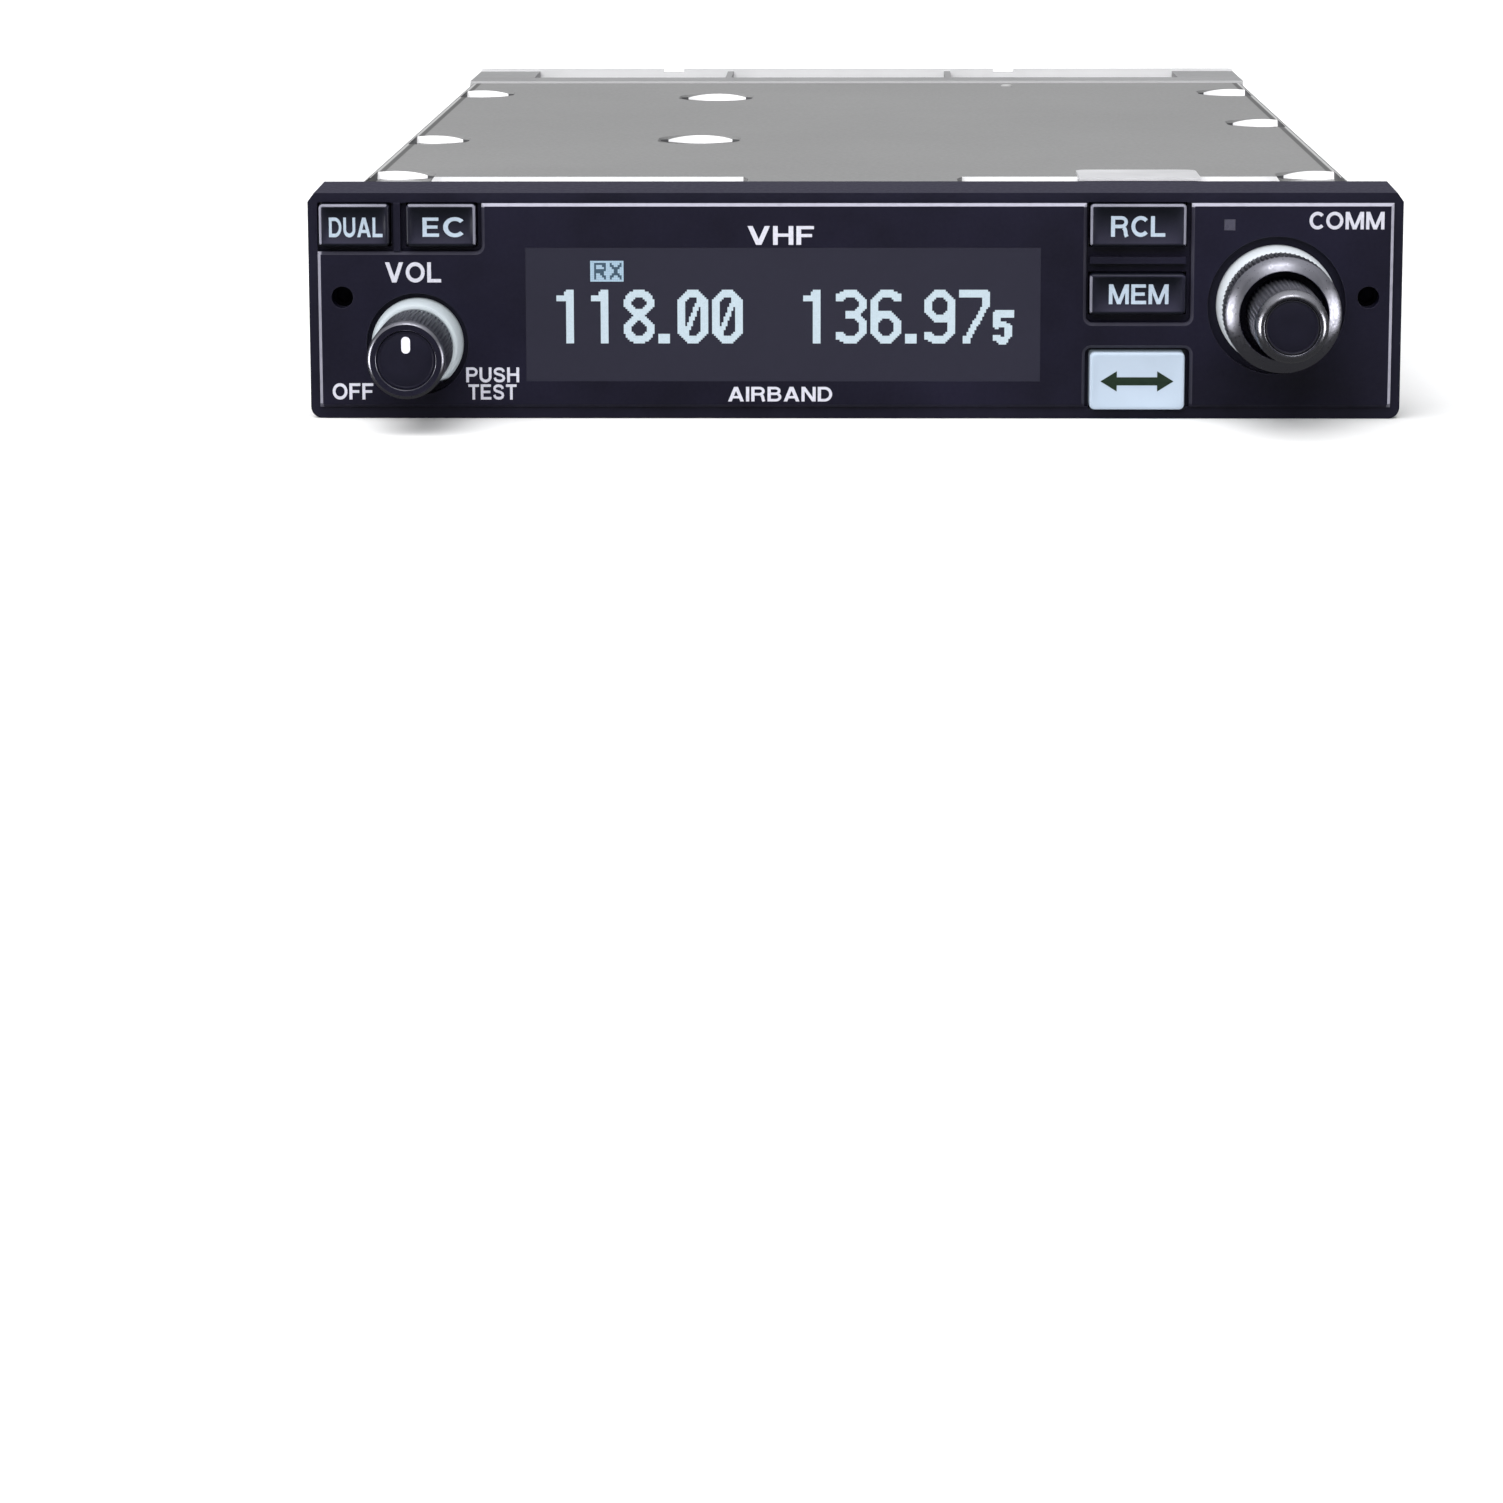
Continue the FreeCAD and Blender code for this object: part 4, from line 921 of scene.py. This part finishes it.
def volume_knob():
    x, z = VOLUME.x, VOLUME.z
    tip = (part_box("volume_knob")[0].y - FACE_Y) / MM
    grip = tip + 2.6
    profile = [(-5.2, 3.05, 0), (-4.6, 3.6, 0), (-4.6, 5.2, 0), (-4.7, 5.4, 0), (-5.1, 5.6, 0),
               (-5.3, 5.65, 0), (-9.0, 5.65, 0), (grip, 5.65, 0), (grip - 0.3, 5.5, 0),
               (grip - 0.4, 5.35, 0), (grip - 0.7, 5.35, 0), (grip - 0.8, 5.5, 1),
               (grip - 1.0, 5.63, 1), (tip + 0.8, 5.63, 1), (tip + 0.35, 5.52, 1),
               (tip + 0.1, 5.33, 1), (tip, 5.14, 1), (tip + 0.02, 5.02, 2), (tip + 0.05, 4.45, 2),
               (tip + 0.05, 4.36, 2), (tip + 0.1, 4.3, 1), (tip + 0.3, 4.24, 1),
               (tip + 0.6, 4.2, 2), (tip + 0.7, 3.05, 2)]
    knob = turned("volume_grip", x, z, profile, ["knurl", "polish", "knob_paint"], 280,
                  knurls=[(grip, -5.3, 56, 0.28)])
    sharpen(knob, 35)
    settle(knob, "volume_turn", "knob_metal", "volume_knob")
    cap = turned("volume_face", x, z, [(tip + 0.68, 4.22, 0), (tip + 0.5, 4.2, 0),
                                       (tip + 0.42, 4.12, 0), (tip + 0.42, 3.9, 0),
                                       (tip + 0.46, 3.84, 0), (tip + 0.46, 3.78, 0),
                                       (tip + 0.42, 3.7, 0), (tip + 0.42, 2.0, 0),
                                       (tip + 0.43, 0.02, 0)], ["knob_paint"])
    sharpen(cap)
    settle(cap, "volume_turn", "knob_face", "volume_knob_cap")
    half, inner_end, outer_end = 0.63, 0.95, 3.36
    loop = rounded_loop(-half, half, inner_end, outer_end, half - 0.02, 8)
    vertices = []
    for side in (tip + 0.38, tip + 0.5):
        vertices += [(x + a * MM, depth(side), z + b * MM) for a, b in loop]
    count = len(loop)
    faces = [tuple(range(count)), tuple(reversed(range(count, 2 * count)))]
    faces += [(i, (i + 1) % count, count + (i + 1) % count, count + i) for i in range(count)]
    pointer = new_piece("volume_pointer", vertices, faces, ["pointer"], smooth=False)
    settle(pointer, "volume_turn", "light_guide")


def tuning_knobs():
    x, z = TUNING.x, TUNING.z
    profile = [(-8.0, 3.55, 0), (-5.0, 4.2, 0), (-5.0, 7.9, 0), (-5.15, 8.2, 0), (-5.4, 8.4, 0),
               (-8.5, 8.4, 0), (-11.8, 8.4, 0), (-12.0, 8.15, 0), (-12.2, 8.15, 1),
               (-12.35, 8.34, 1), (-12.6, 8.36, 1), (-13.0, 8.1, 1), (-13.6, 7.2, 1),
               (-13.95, 6.6, 1), (-14.0, 6.5, 1), (-13.95, 6.42, 1), (-13.7, 6.38, 2),
               (-9.7, 6.35, 2), (-9.55, 6.2, 2), (-9.55, 3.55, 2), (-8.0, 3.55, 2)]
    outer = turned("tuning_outer_grip", x, z, profile, ["knurl", "polish", "knob_paint"], 304,
                   knurls=[(-11.8, -5.4, 76, 0.36)])
    sharpen(outer, 35)
    settle(outer, "tuning_outer_turn", "knob_metal", "tuning_outer_knob")
    profile = [(-11.0, 2.05, 0), (-10.2, 2.6, 0), (-10.2, 4.9, 0), (-10.4, 5.2, 0),
               (-10.7, 5.3, 0), (-18.0, 5.3, 0), (-26.6, 5.3, 0), (-26.8, 5.25, 0),
               (-27.3, 5.18, 0), (-27.5, 5.12, 1), (-27.8, 5.0, 1), (-28.1, 4.8, 1),
               (-28.34, 4.56, 1), (-28.46, 4.36, 1), (-28.5, 4.2, 1), (-28.48, 4.14, 1),
               (-28.42, 4.1, 2), (-28.36, 4.02, 2), (-28.34, 3.98, 1), (-28.2, 3.92, 1),
               (-28.02, 3.9, 2), (-28.02, 2.05, 2)]
    inner = turned("tuning_inner_grip", x, z, profile, ["knurl", "bead", "knob_paint"], 240,
                   knurls=[(-26.6, -10.7, 48, 0.26)])
    sharpen(inner, 35)
    settle(inner, "tuning_inner_turn", "knob_metal", "tuning_inner_knob")
    cap = turned("tuning_face", x, z, [(-28.0, 3.88, 0), (-28.12, 3.86, 0), (-28.18, 3.78, 1),
                                       (-28.19, 3.68, 1), (-28.14, 3.6, 0), (-28.12, 3.5, 0),
                                       (-28.16, 3.42, 0), (-28.16, 1.5, 0), (-28.14, 0.02, 0)],
                 ["knob_paint", "knurl"])
    sharpen(cap)
    settle(cap, "tuning_inner_turn", "knob_face", "tuning_knob_cap")


# ---- legends
def legends():
    face = FACE_Y - INK * MM
    for name, text, x0, x1, z0, z1 in (("volume", "VOL", -68.7, -60.5, 20.1, 23.05),
                                       ("off", "OFF", -76.7, -70.7, 2.85, 5.25),
                                       ("push", "PUSH", -57.0, -49.2, 5.4, 7.6),
                                       ("test", "TEST", -56.7, -49.6, 2.85, 5.1),
                                       ("comm", "COMM", 66.25, 77.15, 27.85, 30.4),
                                       ("band", "VHF", -15.6, -5.9, 25.6, 28.35),
                                       ("range", "AIRBAND", -18.5, -3.2, 2.6, 4.75)):
        piece = lettering(name + "_legend", text, x0, x1, z0, z1, face, "ink")
        settle(piece, "radio", "light_guide")


# ---- case details
def dish(name, x, y, top):
    """Bare metal lining of one pressed dimple: an oval floor, walls with a painted highlight and two
    tips of painted shade.
    """
    z = COVER_HIGH.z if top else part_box("bottom_cover")[0].z
    way = -1.0 if top else 1.0
    rim_r, floor_r, floor_drop = DIMPLE_RIM_R, DIMPLE_FLOOR_R, DIMPLE_DROP
    low_x = -CASE_HALF / MM + DIMPLE_MARGIN + 0.03 - x / MM
    high_x = CASE_HALF / MM - DIMPLE_MARGIN - 0.03 - x / MM
    vertices = []
    faces = []
    face_mats = []

    def add(polygon, mat):
        base = len(vertices)
        vertices.extend((x + px * MM, y + py * MM, z + way * drop * MM) for px, py, drop in polygon)
        ids = list(range(base, base + len(polygon)))
        faces.append(tuple(ids if top else reversed(ids)))
        face_mats.append(mat)

    def reach(px, radius):
        return DIMPLE_STRETCH + math.sqrt(max(0.0, radius * radius - px * px))

    # the floor is bare metal inside an oval, mid grey: darker than the painted highlight on the walls
    oval = floor_r + DIMPLE_STRETCH
    first, last = max(-floor_r, low_x), min(floor_r, high_x)
    count = 40
    strips = [(first + (last - first) * i / count, first + (last - first) * (i + 1) / count)
              for i in range(count)]
    for u0, u1 in strips:
        b0, b1 = (oval * math.sqrt(max(0.0, 1.0 - (u / floor_r) ** 2)) for u in (u0, u1))
        add([(u0, -b0, floor_drop), (u1, -b1, floor_drop), (u1, b1, floor_drop),
             (u0, b0, floor_drop)], 2)
    # far and near walls carry a painted highlight in a lens that narrows towards each end
    for u0, u1 in strips:
        wall = []
        for u, signs in ((u0, (1.0, -1.0)), (u1, (-1.0, 1.0))):
            half = 0.63 * max(0.0, 1.0 - (u / floor_r) ** 2) ** 0.8
            for sign in signs:
                drop = 0.64 + sign * half
                radius = rim_r + (floor_r - rim_r) * drop / floor_drop
                wall.append((u, reach(u, radius) - 0.02, drop))
        add([wall[0], wall[3], wall[2], wall[1]], 0)
        add([(u, -v, w) for u, v, w in wall], 0)
    # painted shade: a dark tip at each end, or a dark end wall where the dimple meets the case edge
    for side, end in ((-1.0, low_x), (1.0, high_x)):
        if abs(end) > rim_r:
            along = reach(side * 5.9, 6.4) - 0.4
            tip = [(side * 5.3, along, 0.85), (side * 6.7, DIMPLE_STRETCH, 0.4),
                   (side * 6.7, DIMPLE_STRETCH, 0.25), (side * 5.3, along, 0.3)]
            add(tip if side > 0 else list(reversed(tip)), 1)
        else:
            wall = [(end, -reach(end, rim_r), 0.0), (end, reach(end, rim_r), 0.0),
                    (end, reach(end, floor_r), floor_drop), (end, -reach(end, floor_r), floor_drop)]
            add(wall if side > 0 else list(reversed(wall)), 1)
    obj = new_piece(name, vertices, faces, ["bare", "tip", "pressed"], face_mats, smooth=False)
    settle(obj, "radio", "spring_steel")


def dimples():
    inset = CASE_HALF - DIMPLE_INSET * MM
    places = [(x * MM, d) for x, d in CENTRE_DIMPLES]
    places += [(-inset, d) for d in LEFT_DIMPLES]
    places += [(inset, d) for d in RIGHT_DIMPLES]
    for i, (x, d) in enumerate(places):
        dish("top_dimple_%d" % i, x, depth(d), True)
        dish("bottom_dimple_%d" % i, x, depth(d), False)


def rivet():
    """Small bare rivet head near the rear edge of the top cover."""
    cx, cy, z = RIVET[0] * MM, depth(RIVET[1]), COVER_HIGH.z
    vertices = []
    segments = 32
    profile = ((1.1, 0.0), (1.05, 0.12), (0.85, 0.24), (0.5, 0.31), (0.04, 0.33))
    for radius, lift in profile:
        for i in range(segments):
            angle = 2.0 * math.pi * i / segments
            vertices.append((cx + radius * MM * math.cos(angle), cy + radius * MM * math.sin(angle),
                             z + lift * MM))
    faces = []
    for j in range(len(profile) - 1):
        for i in range(segments):
            k = (i + 1) % segments
            a, b = j * segments, (j + 1) * segments
            faces.append((a + i, a + k, b + k, b + i))
    faces.append(tuple(range((len(profile) - 1) * segments, len(profile) * segments)))
    obj = new_piece("cover_rivet", vertices, faces, ["rivet"])
    settle(obj, "radio", "spring_steel")


def contacts():
    """Gold sockets in the data connector."""
    x, z = DATA_PLUG.x, DATA_PLUG.z
    vertices = []
    faces = []
    segments = 16
    pitch, half_rows = 2.76, 1.42
    outer, inner = 0.5, 0.34
    front, back = UNIT_REAR + 2.5 * MM, UNIT_REAR - 2.8 * MM
    for row, count in ((half_rows, 13), (-half_rows, 12)):
        for i in range(count):
            cx = x + (i - (count - 1) / 2.0) * pitch * MM
            base = len(vertices)
            for y, radius in ((back, outer), (front, outer), (front, inner), (back, inner)):
                for s in range(segments):
                    angle = 2.0 * math.pi * s / segments
                    vertices.append((cx + radius * MM * math.cos(angle), y,
                                     z + (row + radius * math.sin(angle)) * MM))
            for j in range(3):
                for s in range(segments):
                    k = (s + 1) % segments
                    a = base + j * segments
                    b = a + segments
                    faces.append((a + s, b + s, b + k, a + k))
    obj = new_piece("data_contacts", vertices, faces, ["gold"])
    settle(obj, "radio", "brass")


# ---- studio
WORLD_LOW = 0.08  # strength of the sky near the horizon and overhead
WORLD_HIGH = 0.75
SUN = 3.35
SUN_ANGLE = 80.0  # a very wide sun: its shadows are soft
LENS = 122.6
CAMERA = (0.00086, -0.87337, 0.09841)
PITCH = 11.2142  # degrees below the horizon
YAW = 1.2288
ROLL = -0.1224


def floor():
    size = 4.0
    vertices = [(-size, -size, 0), (size, -size, 0), (size, size, 0), (-size, size, 0)]
    obj = new_piece("floor", vertices, [(0, 1, 2, 3)], ["floor"], smooth=False)
    obj.visible_glossy = False


def area(name, place, target, size_x, size_y, power, diffuse=True, glossy=True):
    data = bpy.data.lights.new(name, "AREA")
    data.shape = "RECTANGLE"
    data.size = size_x
    data.size_y = size_y
    data.energy = power
    obj = bpy.data.objects.new(name, data)
    obj.location = place
    obj.rotation_euler = (Vector(target) - Vector(place)).to_track_quat("-Z", "Y").to_euler()
    obj.visible_camera = False
    obj.visible_diffuse = diffuse
    obj.visible_glossy = glossy
    bpy.context.collection.objects.link(obj)


def world():
    """Soft white sky above, dark below the horizon so that polished metal has contrast."""
    w = bpy.data.worlds.new("studio")
    w.use_nodes = True
    tree = w.node_tree
    background = tree.nodes["Background"]
    geometry = tree.nodes.new("ShaderNodeTexCoord")
    split = tree.nodes.new("ShaderNodeSeparateXYZ")
    tree.links.new(geometry.outputs["Generated"], split.inputs[0])
    ramp = tree.nodes.new("ShaderNodeMapRange")
    ramp.inputs["From Min"].default_value = 0.3
    ramp.inputs["From Max"].default_value = 0.9
    ramp.inputs["To Min"].default_value = WORLD_LOW
    ramp.inputs["To Max"].default_value = WORLD_HIGH
    tree.links.new(split.outputs["Z"], ramp.inputs["Value"])
    tree.links.new(ramp.outputs[0], background.inputs["Strength"])
    background.inputs["Color"].default_value = (0.97, 0.98, 1.0, 1.0)
    bpy.context.scene.world = w


def lights():
    data = bpy.data.lights.new("sun", "SUN")
    data.energy = SUN
    data.angle = math.radians(SUN_ANGLE)
    sun = bpy.data.objects.new("sun", data)
    sun.rotation_euler = Vector((0.35, 0.5, -1.0)).to_track_quat("-Z", "Y").to_euler()
    sun.visible_glossy = False
    bpy.context.collection.objects.link(sun)
    area("front_fill", (0.0, -1.6, 0.7), (0, -0.1, 0.02), 1.6, 0.6, 6.0, glossy=False)
    # bright panels that only polished metal sees
    knobs = (0.0, -0.14, 0.015)
    area("top_panel", (0.0, -0.66, 0.95), knobs, 0.56, 0.3, 2.5, diffuse=False)
    area("left_panel", (-0.95, -0.4, -0.02), knobs, 0.46, 0.5, 6.0, diffuse=False)
    area("right_panel", (0.95, -0.4, -0.02), knobs, 0.46, 0.5, 4.6, diffuse=False)


def camera():
    data = bpy.data.cameras.new("camera")
    data.lens = LENS
    data.sensor_width = 36.0
    data.clip_end = 20.0
    obj = bpy.data.objects.new("camera", data)
    pitch, yaw, roll = (math.radians(a) for a in (90.0 - PITCH, YAW, ROLL))
    turn = (Matrix.Rotation(yaw, 3, "Z") @ Matrix.Rotation(pitch, 3, "X")
            @ Matrix.Rotation(roll, 3, "Z"))
    obj.location = CAMERA
    obj.rotation_euler = turn.to_euler()
    bpy.context.collection.objects.link(obj)
    bpy.context.scene.camera = obj


display()
keys()
rings()
volume_knob()
tuning_knobs()
legends()
dimples()
rivet()
contacts()
floor()
world()
lights()
camera()
bpy.context.scene.view_settings.view_transform = "Standard"
